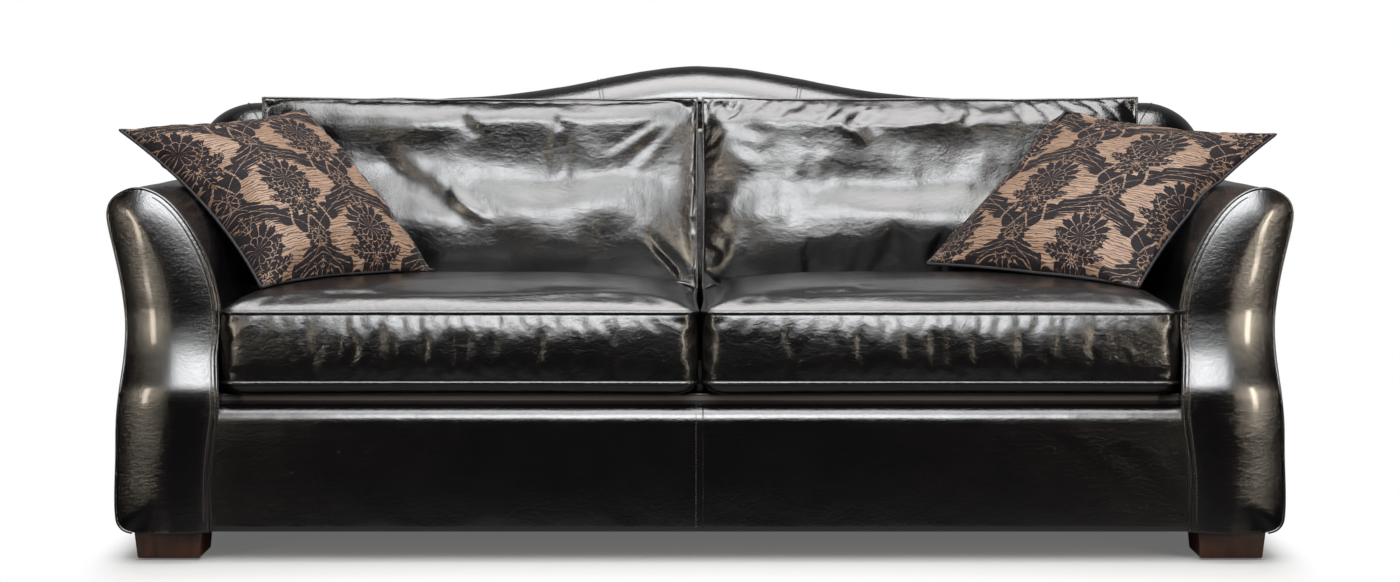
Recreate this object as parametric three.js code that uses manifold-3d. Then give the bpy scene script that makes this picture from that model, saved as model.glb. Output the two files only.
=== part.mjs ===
// A camelback leather sofa for three, with scroll arms, two boxed seat cushions, two loose back cushions and
// two throw pillows. Millimetres: +X to the right seen from the front, -Y to the front, +Z up, and the origin
// on the floor under the middle.
import * as THREE from "three";
import { mergeVertices } from "three/addons/utils/BufferGeometryUtils.js";
import Module from "manifold-3d";

const wasm = await Module();
wasm.setup();

// Overall sizes
const sofaWidth = 2216;
const sofaDepth = 950;
const baseHeight = 58;
const clearance = 0.3;
const overrun = 40;

// Arms
const armWidth = 209;
const armHeight = 701;
const armWall = 18;
const armSetBack = 40;
const kneeBottom = 266;
const kneeTop = 406;
const faceThickness = 14;
const faceCrown = 14;
const armBoardThickness = 20;
const armTopBoardWidth = 70;
const armTopBoardThickness = 20;
const armTopBoardDrop = 82;
const armTopBoardInset = 40;

// Shares of the arm's width in from its widest point, and of its height up from the base.
const armOuterShares = [
  [0.11, 0],
  [0.08, 0.04],
  [0.078, 0.12],
  [0.092, 0.22],
  [0.1, 0.33],
  [0.135, 0.43],
  [0.16, 0.53],
  [0.16, 0.62],
  [0.125, 0.72],
  [0.07, 0.81],
  [0.015, 0.89],
  [0, 0.935],
  [0.035, 0.966],
  [0.12, 0.984],
];
const armInnerShares = [
  [0.914, 0],
  [0.914, 0.08],
  [0.92, 0.17],
  [0.95, 0.26],
  [0.99, 0.35],
  [0.978, 0.44],
  [0.962, 0.52],
  [0.988, 0.6],
  [0.975, 0.67],
  [0.915, 0.755],
  [0.82, 0.83],
  [0.7, 0.897],
  [0.56, 0.953],
  [0.41, 0.988],
];
const armTopShares = [0.25, 1];

// Back
const backInset = 23;
const backThickness = 165;
const backRoll = 80;
const backWall = 25;
const shoulderHeight = 853;
const shoulderRadius = 131;
const crestRise = 79;
const crestSpread = 310;
const rearPanelThickness = 12;
const backPadFoot = 48;
const backPadKnee = 180;
const backPadTop = 490;
const backPadGap = 4;

// Seat base
const deckTop = 309;
const deckThickness = 12;
const railNoseDepth = 40;
const railNoseHeight = 34;
const railHem = 8;
const dustCoverThickness = 1.7;
const dustCoverInset = 48;

// Hardwood frame
const springRoom = 34;
const sideRailHeight = 118;
const sideRailThickness = 22;
const sideRailInset = 66;
const postWidth = 44;
const postDepth = 43;
const postInset = 39;
const crestRailInset = 34;
const crestRailHeight = 70;
const crestRailThickness = 24;
const crestRailOverhang = 78;
const springRailHeight = 40;
const springRailThickness = 21;
const springRailInset = 88;
const stretcherWidth = 28;
const stretcherHeight = 68;
const blockWidth = 98;
const blockDepth = 98;
const blockHeight = 60;
const blockChamfer = 40;

// Seat springs
const springWire = 2;
const springSwing = 24;
const springCount = 6;
const springWaves = 18;

// Feet
const footTop = 128;
const footBottom = 118;
const footInset = 44;
const footSetBack = 35;
const glideHeight = 4;
const glideRadius = 16;
const glideRim = 2;
const boltRadius = 4;
const boltChamfer = 1;
const boltInFoot = 34;
const boltInBlock = 50;
const boltFit = 0.3;

// Seat cushions
const seatSetBack = 25;
const seatSideGap = 1;
const seatRearGap = 6.7;
const seatWelt = 28;
const seatBoxing = 128;
const seatCrown = 52;
const seatBulge = 8;
const seatCorner = 30;
const seatPull = 7;
const seatGap = 5;
const seatUnderInset = 45;
const seatPressShare = 0.72;
const pressStartShare = 0.1;
const pressEndShare = 0.52;
const seatTopShares = [0, 0.05, 0.15, 0.35, 0.65];

// Back cushions
const backCushionOver = 10;
const backCushionHeight = 412;
const backCushionFront = 125;
const backCushionRear = 116;
const backCushionPull = 15;
const backCushionEdge = 3;
const backCushionTilt = 20;
const backCushionAhead = 138;
const backCushionLift = 204;

// Throw pillows
const pillowSize = 470;
const pillowFront = 74;
const pillowRear = 24;
const pillowPull = 34;
const pillowEdge = 3;
const pillowSide = 62;
const pillowAhead = 622;
const pillowLift = 33;

// Corner places in shares of the pillow's size, from its lower outer corner on the seat: out over the arm,
// towards the back, and up. In order: the tip over the arm, the top corner at the back, and the lower
// inner corner.
const leftPillowShares = [
  [0.66, 0.44, 0.64],
  [-0.03, 1.02, 0.72],
  [-0.638, 0.59, 0.02],
];
const rightPillowShares = [
  [0.66, 0.53, 0.62],
  [-0.17, 1.03, 0.715],
  [-0.8, 0.7, 0.06],
];

// Places that several pieces share
const front = -sofaDepth / 2;
const rear = sofaDepth / 2;
const half = sofaWidth / 2;
const backWidth = sofaWidth - 2 * backInset;
const seatingHalf = half - armWidth;
const rearPanelFront = rear - rearPanelThickness;
const backFront = rear - backThickness;
const boardRear = rearPanelFront - clearance;
const boardFront = armFrontEdge(armHeight) + faceThickness + clearance;
const crestTop = shoulderHeight + crestRise;
const backPadFront = backFront - clearance - backPadFoot;
const postX = seatingHalf - postInset;
const crestRailReach = postX + postWidth / 2 + crestRailOverhang;
const springPitch = (2 * seatingHalf) / springCount;
const seatWidth = seatingHalf - seatGap - seatSideGap;
const seatFront = front + seatSetBack;
const seatDepth = backPadFront - seatRearGap - seatFront;
const backCushionWidth = seatingHalf - seatGap + backCushionOver;
const sideRailX = half - sideRailInset;
const frameBottom = baseHeight + dustCoverThickness + clearance;
const frontRailTop = deckTop - springRoom;
const sideRailTop = frameBottom + sideRailHeight;
const footX = half - footInset - footTop / 2;
const footY = front + footSetBack + footTop / 2;

const finishes = {
  leather: { color: 0x17110f, roughness: 0.28, metalness: 0 },
  hardwood: { color: 0xb98d5a, roughness: 0.7, metalness: 0 },
  walnut: { color: 0x3a2015, roughness: 0.4, metalness: 0 },
  steel: { color: 0x8d9094, roughness: 0.35, metalness: 1 },
  nylon: { color: 0x1b1b1d, roughness: 0.55, metalness: 0 },
  cambric: { color: 0x121213, roughness: 0.95, metalness: 0 },
  platform: { color: 0x1c1a19, roughness: 0.9, metalness: 0 },
  damask: { color: 0x7d6250, roughness: 0.6, metalness: 0 },
};

// Closed surfaces

function solidFrom(points, triangles) {
  const volume = triangles.reduce((sum, [a, b, c]) => {
    const normal = new THREE.Vector3().crossVectors(points[b], points[c]);
    return sum + points[a].dot(normal);
  }, 0);
  const turned = volume < 0 ? triangles.map(([a, b, c]) => [a, c, b]) : triangles;
  const geometry = new THREE.BufferGeometry().setFromPoints(points);
  geometry.setIndex(turned.flat());
  return toSolid(geometry);
}

function toSolid(geometry) {
  const bare = geometry.clone();
  bare.deleteAttribute("normal");
  bare.deleteAttribute("uv");
  const merged = mergeVertices(bare);
  const index = merged.index.array;
  const kept = [];
  for (let i = 0; i < index.length; i += 3) {
    const [a, b, c] = [index[i], index[i + 1], index[i + 2]];
    if (a !== b && b !== c && c !== a) {
      kept.push(a, b, c);
    }
  }
  const vertProperties = Float32Array.from(merged.getAttribute("position").array);
  const triVerts = Uint32Array.from(kept);
  return new wasm.Manifold(new wasm.Mesh({ numProp: 3, vertProperties, triVerts }));
}

function toGeometry(solid) {
  const { vertProperties, triVerts } = solid.getMesh();
  const geometry = new THREE.BufferGeometry();
  const position = new THREE.BufferAttribute(Float32Array.from(vertProperties), 3);
  geometry.setAttribute("position", position);
  geometry.setIndex(new THREE.BufferAttribute(Uint32Array.from(triVerts), 1));
  geometry.computeVertexNormals();
  return geometry;
}

// Loops of points joined one to the next, with a flat or fanned cap at each end.
function loft(rings) {
  const count = rings[0].length;
  const points = rings.flat();
  const triangles = [];
  for (let k = 0; k + 1 < rings.length; k++) {
    for (let i = 0; i < count; i++) {
      const a = k * count + i;
      const b = k * count + ((i + 1) % count);
      triangles.push([a, b, b + count], [a, b + count, a + count]);
    }
  }
  const caps = [
    { ring: rings[0], start: 0, turned: true },
    { ring: rings.at(-1), start: points.length - count, turned: false },
  ];
  for (const { ring, start, turned } of caps) {
    const middle = new THREE.Vector3();
    ring.forEach((point) => middle.addScaledVector(point, 1 / count));
    const hub = points.push(middle) - 1;
    for (let i = 0; i < count; i++) {
      const a = start + i;
      const b = start + ((i + 1) % count);
      triangles.push(turned ? [b, a, hub] : [a, b, hub]);
    }
  }
  return solidFrom(points, triangles);
}

// Two sheets of points with the same rows and columns, joined round their edges.
function quilt(frontSheet, rearSheet) {
  const rows = frontSheet.length;
  const columns = frontSheet[0].length;
  const points = [...frontSheet.flat(), ...rearSheet.flat()];
  const at = (sheet, row, column) => sheet * rows * columns + row * columns + column;
  const triangles = [];
  const quad = (a, b, c, d) => triangles.push([a, b, c], [a, c, d]);
  for (let r = 0; r + 1 < rows; r++) {
    for (let c = 0; c + 1 < columns; c++) {
      quad(at(0, r, c), at(0, r, c + 1), at(0, r + 1, c + 1), at(0, r + 1, c));
      quad(at(1, r, c), at(1, r + 1, c), at(1, r + 1, c + 1), at(1, r, c + 1));
    }
  }
  for (let r = 0; r + 1 < rows; r++) {
    const last = columns - 1;
    quad(at(0, r, 0), at(0, r + 1, 0), at(1, r + 1, 0), at(1, r, 0));
    quad(at(0, r, last), at(1, r, last), at(1, r + 1, last), at(0, r + 1, last));
  }
  for (let c = 0; c + 1 < columns; c++) {
    const last = rows - 1;
    quad(at(0, 0, c), at(1, 0, c), at(1, 0, c + 1), at(0, 0, c + 1));
    quad(at(0, last, c), at(0, last, c + 1), at(1, last, c + 1), at(1, last, c));
  }
  return solidFrom(points, triangles);
}

// A flat outline in X and Z, given thickness along Y.
function plate(outline, near, far) {
  const shape = new THREE.Shape(outline.map((p) => new THREE.Vector2(p.x, p.z)));
  const geometry = new THREE.ExtrudeGeometry(shape, { depth: far - near, bevelEnabled: false });
  geometry.rotateX(Math.PI / 2);
  geometry.translate(0, far, 0);
  return toSolid(geometry);
}

// A profile in Y and Z, run along X about the middle.
function run(profile, length, curveSegments) {
  const depth = length;
  const geometry = new THREE.ExtrudeGeometry(profile, { depth, bevelEnabled: false, curveSegments });
  const basis = new THREE.Matrix4().makeBasis(
    new THREE.Vector3(0, 1, 0),
    new THREE.Vector3(0, 0, 1),
    new THREE.Vector3(1, 0, 0),
  );
  geometry.applyMatrix4(basis);
  geometry.translate(-length / 2, 0, 0);
  return toSolid(geometry);
}

function block(low, high) {
  const size = high.map((value, axis) => value - low[axis]);
  const geometry = new THREE.BoxGeometry(...size);
  geometry.translate(...low.map((value, axis) => value + size[axis] / 2));
  return toSolid(geometry);
}

// A round piece turned about Z, from radius and height pairs that start and end on the axis.
function turned(profile, sides) {
  const geometry = new THREE.LatheGeometry(
    profile.map(([radius, height]) => new THREE.Vector2(radius, height)),
    sides,
  );
  geometry.rotateX(Math.PI / 2);
  return toSolid(geometry);
}

function mirrored(solid) {
  return solid.mirror([1, 0, 0]);
}

// Arm outline, seen from the front, on the right side of the sofa

function armFrontEdge(height) {
  const lean = THREE.MathUtils.smoothstep(height, kneeBottom, kneeTop);
  return -sofaDepth / 2 + faceCrown + armSetBack * lean;
}

function armSide(shares) {
  const places = [...shares, armTopShares].map(
    ([across, up]) =>
      new THREE.Vector2(
        sofaWidth / 2 - armWidth * across,
        baseHeight + (armHeight - baseHeight) * up,
      ),
  );
  const steps = 2 * (places.length - 1);
  return new THREE.SplineCurve(places).getPoints(steps).map(({ x, y }) => ({ x, z: y }));
}

// The open outline from the outer foot over the top to the inner foot, moved outwards by grow.
function armOutline(grow) {
  const outer = armSide(armOuterShares);
  const inner = armSide(armInnerShares).reverse().slice(1);
  const line = [...outer, ...inner];
  return line.map((point, i) => {
    const before = line[Math.max(i - 1, 0)];
    const after = line[Math.min(i + 1, line.length - 1)];
    const reach = Math.hypot(after.x - before.x, after.z - before.z);
    return {
      x: point.x + (grow * (after.z - before.z)) / reach,
      z: point.z - (grow * (after.x - before.x)) / reach,
    };
  });
}

// The same outline as pairs of points, one on the outer side and one on the inner, from the foot up.
function armRungs(grow) {
  const line = armOutline(grow);
  const top = (line.length - 1) / 2;
  return Array.from({ length: top + 1 }, (_, i) => [line[i], line[line.length - 1 - i]]);
}

// The room that an arm takes up, for cutting what meets it.
function armRoom(grow) {
  const line = armOutline(grow);
  const foot = [line[0], line.at(-1)].map(({ x }) => ({ x, z: baseHeight - overrun }));
  const right = plate([foot[0], ...line, foot[1]], front - overrun, rear + overrun);
  return right.add(mirrored(right));
}

// All that lies outside the middle of the arms, below their scrolls.
function besideArms() {
  const right = block(
    [half - armWidth / 2, front - overrun, baseHeight - overrun],
    [half + overrun, rear + overrun, armHeight - armWidth / 2],
  );
  return right.add(mirrored(right));
}

// A padded slab across the arm: its front and rear are given as functions of the place across and up.
function armSlab(grow, columns, frontAt, rearAt) {
  const rungs = armRungs(grow);
  const sheet = (depthAt) =>
    rungs.map(([outer, inner], row) =>
      columns.map((across) => {
        const x = THREE.MathUtils.lerp(outer.x, inner.x, across);
        const z = THREE.MathUtils.lerp(outer.z, inner.z, across);
        return new THREE.Vector3(x, depthAt(z, across, row / (rungs.length - 1)), z);
      }),
    );
  return quilt(sheet(frontAt), sheet(rearAt));
}

function armFrontPanel() {
  const columnShares = [0, 0.06, 0.2, 0.5, 0.8, 0.94, 1];
  const crownAt = (share, power) => Math.sqrt(1 - Math.abs(2 * share - 1) ** power);
  const face = armSlab(
    0,
    columnShares,
    (z, across, up) => armFrontEdge(z) - faceCrown * crownAt(across, 4) * crownAt(up, 12),
    (z) => armFrontEdge(z) + faceThickness,
  );
  const filling = armSlab(
    -armWall - clearance,
    [0, 1],
    (z) => armFrontEdge(z) + faceThickness / 2,
    () => boardFront - clearance,
  );
  return face.add(filling);
}

// Outer and inner leather over the padding: a channel open at the base, where the frame goes in.
function armCover() {
  const outside = armOutline(0);
  const inside = armOutline(-armWall);
  const rings = outside.map((out, i) => {
    const start = armFrontEdge(out.z) + faceThickness + clearance;
    return [
      new THREE.Vector3(out.x, start, out.z),
      new THREE.Vector3(out.x, boardRear, out.z),
      new THREE.Vector3(inside[i].x, boardRear, inside[i].z),
      new THREE.Vector3(inside[i].x, start, inside[i].z),
    ];
  });
  const underDeck = block(
    [half - armWidth - overrun, front - overrun, baseHeight - overrun],
    [half - armWidth / 2, rear + overrun, deckTop - deckThickness],
  );
  return loft(rings).subtract(underDeck);
}

function armBoard(near) {
  const line = armOutline(-armWall - clearance);
  const raised = line.map(({ x, z }) => ({ x, z: Math.max(z, frameBottom) }));
  return plate(raised, near, near + armBoardThickness);
}

// Back outline, seen from the front

function crestHeight(x) {
  return shoulderHeight + crestRise / Math.cosh(x / crestSpread) ** 2;
}

// The open outline from the right foot over the camel crest to the left foot, moved inwards by inset.
function backOutline(bottom, inset) {
  const arcSteps = 6;
  const crestSteps = 28;
  const reach = backWidth / 2 - shoulderRadius;
  const line = [{ x: backWidth / 2, z: bottom }];
  for (let i = 0; i <= arcSteps; i++) {
    const turn = ((Math.PI / 2) * i) / arcSteps;
    const x = reach + shoulderRadius * Math.cos(turn);
    line.push({ x, z: crestHeight(x) - shoulderRadius * (1 - Math.sin(turn)) });
  }
  for (let i = 1; i < crestSteps; i++) {
    const x = reach * (1 - (2 * i) / crestSteps);
    line.push({ x, z: crestHeight(x) });
  }
  for (let i = arcSteps; i >= -1; i--) {
    const { x, z } = line[i + 1];
    line.push({ x: -x, z });
  }
  return line.map((point, i) => {
    const before = line[Math.max(i - 1, 0)];
    const after = line[Math.min(i + 1, line.length - 1)];
    const length = Math.hypot(after.x - before.x, after.z - before.z);
    const low = i === 0 || i === line.length - 1;
    return {
      x: point.x - (inset * (after.z - before.z)) / length,
      z: low ? bottom : point.z + (inset * (after.x - before.x)) / length,
    };
  });
}

// The back's body, round all along its top and sides, shrunk on every side by wall.
function backBody(bottom, wall) {
  const steps = 8;
  const middle = rear - backThickness / 2;
  const rings = Array.from({ length: steps + 1 }, (_, k) => {
    const turn = (Math.PI * k) / steps;
    const y = middle - (backThickness / 2 - wall) * Math.cos(turn);
    const inset = wall + (backRoll - wall) * (1 - Math.sin(turn));
    return backOutline(bottom, inset).map(({ x, z }) => new THREE.Vector3(x, y, z));
  });
  return loft(rings);
}

function backCover() {
  const room = backBody(deckTop - overrun, backWall);
  const middle = rear - backThickness / 2;
  const pocket = plate(backOutline(deckTop - overrun, backRoll - clearance), middle, rear + overrun);
  const body = backBody(deckTop + clearance, 0).subtract(room).subtract(pocket);
  return body.subtract(armRoom(clearance)).subtract(besideArms());
}

function outsideBackPanel() {
  const middle = plate(backOutline(baseHeight, backRoll), rearPanelFront, rear);
  const lobe = plate(armOutline(-clearance), rearPanelFront, rear);
  return middle.add(lobe).add(mirrored(lobe));
}

// The tight inside back leans: deepest at the seat, and flush with the roll at its top.
function insideBackPad() {
  const flush = backFront - clearance;
  const foot = deckTop + clearance;
  const profile = new THREE.Shape();
  profile.moveTo(flush, foot);
  profile.lineTo(flush - backPadFoot, foot);
  profile.lineTo(flush - backPadFoot, foot + backPadKnee);
  profile.lineTo(flush, foot + backPadTop);
  profile.closePath();
  return run(profile, 2 * (seatingHalf - backPadGap), 1).subtract(armRoom(clearance));
}

// Seat base

function frontRailCover() {
  const back = boardFront - clearance;
  const face = armFrontEdge(baseHeight) - clearance;
  const profile = new THREE.Shape();
  profile.moveTo(back, baseHeight);
  profile.lineTo(face + railHem, baseHeight);
  profile.quadraticCurveTo(face, baseHeight, face, baseHeight + railHem);
  profile.lineTo(face, deckTop - railNoseHeight);
  profile.absellipse(
    face + railNoseDepth,
    deckTop - railNoseHeight,
    railNoseDepth,
    railNoseHeight,
    Math.PI,
    Math.PI / 2,
    true,
    0,
  );
  profile.lineTo(back, deckTop);
  profile.closePath();
  return run(profile, sofaWidth - armWidth, 8).subtract(armRoom(clearance));
}

function seatDeck() {
  const reach = half - armWidth / 2;
  const low = [-reach, boardFront, deckTop - deckThickness];
  const high = [reach, backFront - clearance, deckTop];
  return block(low, high).subtract(armRoom(clearance));
}

function dustCover(boltPlaces) {
  const low = [dustCoverInset - half, boardFront, baseHeight];
  const high = [half - dustCoverInset, boardRear, baseHeight + dustCoverThickness];
  const cloth = block(low, high);
  return boltPlaces.reduce((rest, place) => rest.subtract(boltHole().translate(place)), cloth);
}

// Hardwood frame

function betweenArmBoards(low, high) {
  const ends = armRoom(-armWall);
  return block(low, high).subtract(ends);
}

function crestRailLine(inset) {
  return backOutline(deckTop, inset).filter(({ x }) => Math.abs(x) <= crestRailReach);
}

function crestRail() {
  const near = rear - backThickness / 2 + clearance;
  const upper = crestRailLine(crestRailInset);
  const lower = upper.map(({ x, z }) => ({ x, z: z - crestRailHeight }));
  return plate([...upper, ...lower.reverse()], near, near + crestRailThickness);
}

function backPost(x) {
  const high = rearRailFront() - clearance;
  const tall = block(
    [x - postWidth / 2, high - postDepth, frameBottom],
    [x + postWidth / 2, high, crestTop],
  );
  const head = crestRailLine(crestRailInset).map(({ x: at, z }) => ({
    x: at,
    z: z - crestRailHeight - clearance,
  }));
  const above = [head.at(-1), head[0]].map(({ x: at }) => ({ x: at, z: crestTop + overrun }));
  return tall.subtract(plate([...head, ...above], front, rear));
}

function rearRailFront() {
  return boardRear - armBoardThickness;
}

function cornerBlock(boltPlace, sideways) {
  const outline = new THREE.Shape();
  outline.moveTo(0, 0);
  outline.lineTo(-blockWidth, 0);
  outline.lineTo(-blockWidth, blockDepth - blockChamfer);
  outline.lineTo(-blockWidth + blockChamfer, blockDepth);
  outline.lineTo(0, blockDepth);
  outline.closePath();
  const geometry = new THREE.ExtrudeGeometry(outline, { depth: blockHeight, bevelEnabled: false });
  const body = toSolid(geometry);
  return (sideways ? body : body.mirror([0, 1, 0])).subtract(boltHole().translate(boltPlace));
}

// A sinuous seat spring: one wire that swings from side to side from the front rail to the spring rail.
function seatSpring(length, rise) {
  const places = Array.from({ length: springWaves + 1 }, (_, i) => {
    const along = i / springWaves;
    const side = i === 0 || i === springWaves ? 0 : i % 2 === 0 ? 1 : -1;
    return new THREE.Vector3(side * springSwing, length * along, rise * Math.sin(Math.PI * along));
  });
  const wire = new THREE.Shape();
  wire.absarc(0, 0, springWire, 0, 2 * Math.PI, false);
  const geometry = new THREE.ExtrudeGeometry(wire, {
    steps: 2 * springWaves,
    curveSegments: 2,
    bevelEnabled: false,
    extrudePath: new THREE.CatmullRomCurve3(places),
  });
  return toSolid(geometry);
}

// Feet

function boltHole() {
  const radius = boltRadius + boltFit;
  const low = baseHeight - boltInFoot - overrun;
  const high = baseHeight + boltInBlock + overrun;
  const profile = [
    [0, low],
    [radius, low],
    [radius, high],
    [0, high],
  ];
  return turned(profile, 10);
}

function footBolt() {
  const low = -boltInFoot;
  const high = boltInBlock;
  const profile = [
    [0, low],
    [boltRadius - boltChamfer, low],
    [boltRadius, low + boltChamfer],
    [boltRadius, high - boltChamfer],
    [boltRadius - boltChamfer, high],
    [0, high],
  ];
  return turned(profile, 10);
}

function foot() {
  const height = baseHeight - glideHeight - 2 * clearance;
  const across = Math.SQRT1_2;
  const geometry = new THREE.CylinderGeometry(footTop * across, footBottom * across, height, 4);
  geometry.rotateY(Math.PI / 4);
  geometry.rotateX(Math.PI / 2);
  geometry.translate(0, 0, -clearance - height / 2);
  const bore = turned(
    [
      [0, -boltInFoot - clearance],
      [boltRadius + boltFit, -boltInFoot - clearance],
      [boltRadius + boltFit, overrun],
      [0, overrun],
    ],
    10,
  );
  return toSolid(geometry).subtract(bore);
}

function glide() {
  const profile = [
    [0, 0],
    [glideRadius - glideRim, 0],
    [glideRadius, glideRim],
    [glideRadius, glideHeight],
    [0, glideHeight],
  ];
  return turned(profile, 16);
}

// Cushions

// A boxed cushion: flat underneath, a welt round its lower and upper edges, and a crowned top that the back
// cushion presses flat behind. Its sides draw in between rounded corners.
function seatCushionLoop(inset, bulge) {
  const wide = seatWidth / 2;
  const deep = seatDepth / 2;
  const sideSteps = 6;
  const cornerSteps = 2;
  const middle = new THREE.Vector2();
  const loop = [];
  for (let quarter = 0; quarter < 4; quarter++) {
    const across = quarter % 2 === 0 ? deep : wide;
    const out = quarter % 2 === 0 ? wide : deep;
    const turn = (quarter * Math.PI) / 2;
    for (let i = 0; i <= sideSteps; i++) {
      const along = (2 * i) / sideSteps - 1;
      const pull = (seatPull - bulge) * (1 - along ** 2);
      const side = new THREE.Vector2(out - pull, (across - seatCorner) * along);
      loop.push(side.rotateAround(middle, turn));
    }
    for (let i = 1; i <= cornerSteps; i++) {
      const bend = (Math.PI / 2) * (i / (cornerSteps + 1));
      const x = out - seatCorner + seatCorner * Math.cos(bend);
      const y = across - seatCorner + seatCorner * Math.sin(bend);
      loop.push(new THREE.Vector2(x, y).rotateAround(middle, turn));
    }
  }
  const shrink = new THREE.Vector2(1 - inset / wide, 1 - inset / deep);
  return loop.map((point) => point.multiply(shrink));
}

function seatTop(x, y) {
  const across = Math.min(Math.abs(x) / (seatWidth / 2), 1);
  const along = Math.min(Math.abs(y) / (seatDepth / 2), 1);
  const press = THREE.MathUtils.smoothstep(y / (seatDepth / 2), pressStartShare, pressEndShare);
  const dome = Math.sqrt((1 - across ** 3) * (1 - along ** 3));
  return seatWelt + seatBoxing + seatCrown * dome * (1 - seatPressShare * press);
}

function seatCushion() {
  const under = [
    { inset: 4 * seatUnderInset, z: 0, bulge: 0 },
    { inset: seatUnderInset, z: 0, bulge: 0 },
    { inset: seatUnderInset / 4, z: seatWelt / 3, bulge: 0 },
    { inset: 0, z: seatWelt, bulge: 0 },
    { inset: 0, z: seatWelt + seatBoxing / 3, bulge: seatBulge },
    { inset: 0, z: seatWelt + (2 * seatBoxing) / 3, bulge: seatBulge },
  ];
  const rings = under.map(({ inset, z, bulge }) =>
    seatCushionLoop(inset, bulge).map(({ x, y }) => new THREE.Vector3(x, y, z)),
  );
  for (const share of seatTopShares) {
    const loop = seatCushionLoop((share * seatDepth) / 2, 0);
    rings.push(loop.map(({ x, y }) => new THREE.Vector3(x, y, seatTop(x, y))));
  }
  return loft(rings);
}

// A knife-edge cushion from its four corners. The sides draw in between pointed corners, and the two faces
// swell by different amounts.
function softSquare(corners, { frontSwell, rearSwell, pull, edge, columns, rows }) {
  const fullness = 0.45;
  const [lowLeft, lowRight, highRight, highLeft] = corners;
  const width = lowLeft.distanceTo(lowRight);
  const height = lowLeft.distanceTo(highLeft);
  const place = (u, v) => {
    const drawnU = u * (1 - (2 * pull * (1 - v ** 2)) / width);
    const drawnV = v * (1 - (2 * pull * (1 - u ** 2)) / height);
    const s = (drawnU + 1) / 2;
    const t = (drawnV + 1) / 2;
    const low = lowLeft.clone().lerp(lowRight, s);
    return low.lerp(highLeft.clone().lerp(highRight, s), t);
  };
  const across = new THREE.Vector3().subVectors(highRight, lowLeft);
  const other = new THREE.Vector3().subVectors(highLeft, lowRight);
  const outward = new THREE.Vector3().crossVectors(across, other).normalize();
  const steps = (count) =>
    Array.from({ length: count + 1 }, (_, i) => Math.sin((Math.PI * (2 * i - count)) / (2 * count)));
  const sheet = (swell) =>
    steps(rows).map((v) =>
      steps(columns).map((u) => {
        const full = ((1 - u ** 2) * (1 - v ** 2)) ** fullness;
        return place(u, v).addScaledVector(outward, swell * full + Math.sign(swell) * edge);
      }),
    );
  return quilt(sheet(frontSwell), sheet(-rearSwell));
}

function backCushionForm() {
  const x = backCushionWidth / 2;
  const z = backCushionHeight / 2;
  const corners = [
    new THREE.Vector3(-x, 0, -z),
    new THREE.Vector3(x, 0, -z),
    new THREE.Vector3(x, 0, z),
    new THREE.Vector3(-x, 0, z),
  ];
  return softSquare(corners, {
    frontSwell: backCushionFront,
    rearSwell: backCushionRear,
    pull: backCushionPull,
    edge: backCushionEdge,
    columns: 16,
    rows: 10,
  });
}

function throwPillowForm(side, shares) {
  const base = new THREE.Vector3(
    side * (seatingHalf - pillowSide),
    backFront - pillowAhead,
    deckTop + seatWelt + seatBoxing + pillowLift,
  );
  const [tip, top, inner] = shares.map(([out, back, up]) =>
    base.clone().addScaledVector(new THREE.Vector3(side * out, back, up), pillowSize),
  );
  const corners = side > 0 ? [inner, base, tip, top] : [base, inner, top, tip];
  return softSquare(corners, {
    frontSwell: pillowFront,
    rearSwell: pillowRear,
    pull: pillowPull,
    edge: pillowEdge,
    columns: 12,
    rows: 12,
  });
}

// The sofa

const sofa = new THREE.Group();

function addTo(group, name, solid, finish, place = [0, 0, 0], tilt = 0) {
  const mesh = new THREE.Mesh(toGeometry(solid), new THREE.MeshStandardMaterial(finishes[finish]));
  mesh.name = name;
  mesh.position.set(...place);
  mesh.rotation.x = tilt;
  group.add(mesh);
  return mesh;
}

const frame = new THREE.Group();
const upholstery = new THREE.Group();
const cushions = new THREE.Group();
const feet = new THREE.Group();
sofa.add(frame, upholstery, cushions, feet);

const sides = [
  { name: "left", side: -1 },
  { name: "right", side: 1 },
];
const ends = [
  { name: "front", end: -1 },
  { name: "rear", end: 1 },
];

const rightCover = armCover();
const rightPanel = armFrontPanel();
const frontBoard = armBoard(boardFront);
const rearBoard = armBoard(rearRailFront());
const topBoardHigh = armHeight - armTopBoardDrop;
const topBoard = block(
  [half - armTopBoardInset - armTopBoardWidth, boardFront + armBoardThickness + clearance, topBoardHigh],
  [half - armTopBoardInset, rearRailFront() - clearance, topBoardHigh + armTopBoardThickness],
);
const sideRail = block(
  [sideRailX, boardFront + armBoardThickness + clearance, frameBottom],
  [sideRailX + sideRailThickness, rearRailFront() - clearance, sideRailTop],
);
const oneSide = {
  arm_cover: [upholstery, rightCover, "leather"],
  arm_front_panel: [upholstery, rightPanel, "leather"],
  arm_front_board: [frame, frontBoard, "hardwood"],
  arm_rear_board: [frame, rearBoard, "hardwood"],
  arm_top_board: [frame, topBoard, "hardwood"],
  side_rail: [frame, sideRail, "hardwood"],
};
for (const { name, side } of sides) {
  for (const [piece, [group, solid, finish]] of Object.entries(oneSide)) {
    addTo(group, `${name}_${piece}`, side > 0 ? solid : mirrored(solid), finish);
  }
  addTo(frame, `${name}_back_post`, backPost(side * postX), "hardwood");
}

addTo(upholstery, "back_cover", backCover(), "leather");
addTo(upholstery, "outside_back_panel", outsideBackPanel(), "leather");
addTo(upholstery, "inside_back_pad", insideBackPad(), "leather");
addTo(upholstery, "front_rail_cover", frontRailCover(), "leather");
addTo(upholstery, "seat_deck", seatDeck(), "platform");

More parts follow.
